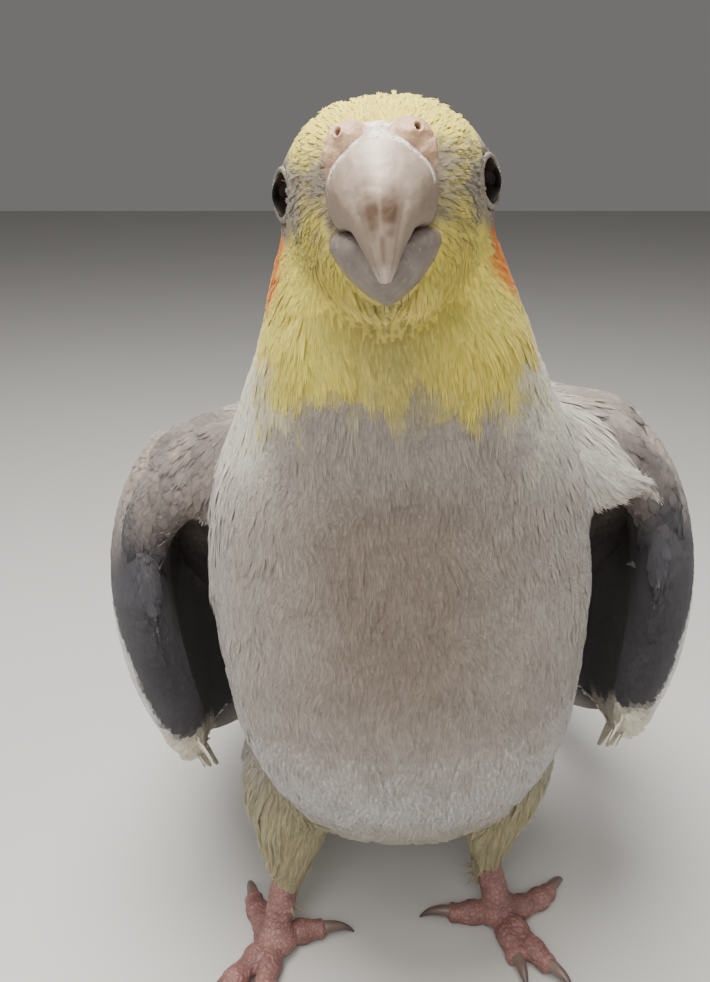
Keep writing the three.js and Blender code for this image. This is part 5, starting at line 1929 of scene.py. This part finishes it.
def toe_form(foot, name):
    length, joints = TOES[name]
    line = curve([toe_point(foot, name, length * share, height)
                  for share, height in ((0, 3.2), (0.35, 2.3), (0.7, 2.0), (1, TOE_TIP_HEIGHT))])

    def radius(t):
        swell = 1 + 0.1 * np.cos(2 * math.pi * joints * t)
        folds = 0.13 * np.abs(np.sin(math.pi * t * length / 1.15)) - 0.06
        return TOE_RADIUS * (1.12 - 0.28 * t) * swell * (1 - 0.35 * smooth(0.9, 1, t)) + folds

    return rod(line, radius, 110, 40)


feet, claws = [], []
for name, foot in FEET.items():
    x, y = foot["at"]
    halfway = np.array([x, y + 0.4]) * 0.5 + np.array(foot["ankle"]) * 0.5
    shank = curve([[x, y + 0.4, 3.2], [*halfway, 7.8], [*foot["ankle"], ANKLE_HEIGHT + 4]])
    parts = [rod(shank, lambda t: 2.35 + 0.12 * np.abs(np.sin(t * 22)), 60, 36),
             loft(ball_rings(24, 36, 0.04) * [3.9, 4.1, 2.9] + [x, y, 2.7])]
    parts += [toe_form(foot, toe) for toe in TOES]
    made = thing("foot_skin_" + name, *together(parts))
    melted(made, FOOT_GRAIN, 0.5, 3)
    p = to_bird(read(made.data))
    out = read(made.data, "vertices", "normal")
    p = p + out * (0.09 * ripple(p, 2.2, 61) + 0.05 * ripple(p, 0.9, 62))[:, None]
    p[:, 2] = np.maximum(p[:, 2], 0)
    moved(made, to_room(p))
    feet.append(made)
    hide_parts("foot_" + name)
    for toe in TOES:
        length = TOES[toe][0] + 0.2
        first, middle, last = (toe_point(foot, toe, length + reach, height) for reach, height in (
            (-1.6, TOE_TIP_HEIGHT + 0.3), (CLAW["length"] * 0.6, TOE_TIP_HEIGHT + CLAW["drop"]),
            (CLAW["length"], 0.35)))

        def arc(t, first=first, middle=middle, last=last):
            t = np.asarray(t)[..., None]
            return (1 - t) ** 2 * first + 2 * t * (1 - t) * middle + t**2 * last

        taper = rod(arc, lambda t: CLAW["radius"] * (1 - 0.9 * t**1.5), 40, 24)
        made = thing(f"nail_{name}_{toe}", *taper)
        note(made.data, run=np.append(np.repeat(np.linspace(0, 1, 40), 24), [0, 1]))
        claws.append(made)
        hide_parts(f"claw_{name}_{toe}")
print("feet:", [len(piece.data.polygons) for piece in feet], "claws:", len(claws))


# %% The finish of feet and claws
SCUTES = 1100.0


def foot_tint(tree):
    # the foot's own pink, darkened all over as painted shade from the body standing over the feet
    tint = two_tones(tree, 260, 3.0, (116, 80, 77), (150, 109, 102))
    edges = cells(tree, SCUTES, "DISTANCE_TO_EDGE")
    tint = mix(tree, span(tree, edges, 0.0, 0.14, 0.5, 0.0), tint, colour(90, 56, 55))
    return flecks(tree, tint, 1500, 0.6, 0.3, (178, 148, 140))


def scutes(tree):
    edges = cells(tree, SCUTES, "DISTANCE_TO_EDGE")
    return math_of(tree, "MULTIPLY_ADD", noise(tree, 900, 3.0), 0.3, span(tree, edges, 0.0, 0.25))


foot_finish = finish("foot skin", foot_tint, 0.55, scutes, 0.5, 0.00022, Subsurface_Weight=0.1,
                     Subsurface_Scale=0.002)
claw_finish = finish(
    "claw horn", lambda tree: mix(tree, span(tree, mask_from(tree, "run"), 0.2, 0.95), mix(
        tree, noise(tree, 700, 3.0), colour(96, 78, 72), colour(128, 108, 98)), colour(62, 52, 50)),
    0.4, lambda tree: noise(tree, 1400, 3.0), 0.2, 0.0001)
for made in feet:
    made.data.materials.append(foot_finish)
for made in claws:
    made.data.materials.append(claw_finish)

# %% [markdown]
# ## Floor, light and camera
# The bird stands on a plain pale floor. A broad lamp overhead gives the soft daylight of a room,
# and a second one high in front reaches face and breast but leaves the thighs in the belly's
# shade, as in the photo. Two wide, weak lamps fill in from the sides. The camera is close in
# front of the face and looks down on it, so the head is large and the feet are small.

# %% Floor
HALF_FLOOR = 1.6
floor_mesh = bpy.data.meshes.new("floor")
corners = [(x * HALF_FLOOR, y * HALF_FLOOR, 0) for x, y in ((-1, -1), (1, -1), (1, 1), (-1, 1))]
floor_mesh.from_pydata(corners, [], [(0, 1, 2, 3)])
floor = placed("floor", floor_mesh)
floor_mesh.materials.append(finish(
    "pale floor", lambda tree: mix(tree, noise(tree, 9, 3.0), colour(184, 182, 178),
                                   colour(193, 190, 187)), 0.9))

# %% Light
world = bpy.context.scene.world or bpy.data.worlds.new("studio")
bpy.context.scene.world = world
world.use_nodes = True
sky = world.node_tree.nodes["Background"].inputs
sky["Color"].default_value = (1, 0.98, 0.95, 1)
sky["Strength"].default_value = 0.17


def lamp(name, at, aim, size, power, tint=(1, 1, 1)):
    """A round lamp turned to what it aims at, with its size in metres and its power in watts."""
    light = bpy.data.lights.new(name, "AREA")
    light.shape, light.size, light.energy, light.color = "DISK", size, power, tint
    made = placed(name, light)
    made.location = at
    made.rotation_euler = (Vector(aim) - made.location).to_track_quat("-Z", "Y").to_euler()


lamp("overhead", (-0.05, -0.12, 0.42), (0, -0.06, 0.13), 0.26, 3.9, (1, 0.98, 0.94))
lamp("front", (-0.1, -0.72, 0.7), (0, -0.03, 0.11), 0.6, 5.6, (1, 0.985, 0.96))
lamp("side left", (-0.8, -0.35, 0.35), (0, -0.05, 0.09), 0.6, 1.2)
lamp("side right", (0.8, -0.3, 0.35), (0, -0.05, 0.09), 0.6, 1.2)

# %% Camera
lens = bpy.data.cameras.new("camera")
lens.lens, lens.sensor_width, lens.clip_start = 36.66, 36, 0.01
camera = placed("camera", lens)
camera.location = (-0.0076, -0.2161, 0.1384)
camera.rotation_euler = (math.radians(70), 0, 0)
bpy.context.scene.camera = camera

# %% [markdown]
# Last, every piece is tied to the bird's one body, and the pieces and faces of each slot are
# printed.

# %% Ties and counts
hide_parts("head", "neck", "torso", "shoulder_left", "shoulder_right", "thigh_left",
            "thigh_right")
SLOTS = {
    "plumage": [skin, *coats, rump, tail_coverts],
    "flight_feathers": [*wings, tail],
    "yellow_plumage": [crest, hairs],
    "horn": [bill_upper, bill_lower, flakes, *claws],
    "bare_skin": [cere, *lids, *feet],
    "eyes": eyes,
}
for slot, pieces in SLOTS.items():
    for piece in pieces:
        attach(piece, "root")
    print(slot, len(pieces), "pieces,", sum(len(piece.data.polygons) for piece in pieces), "faces")
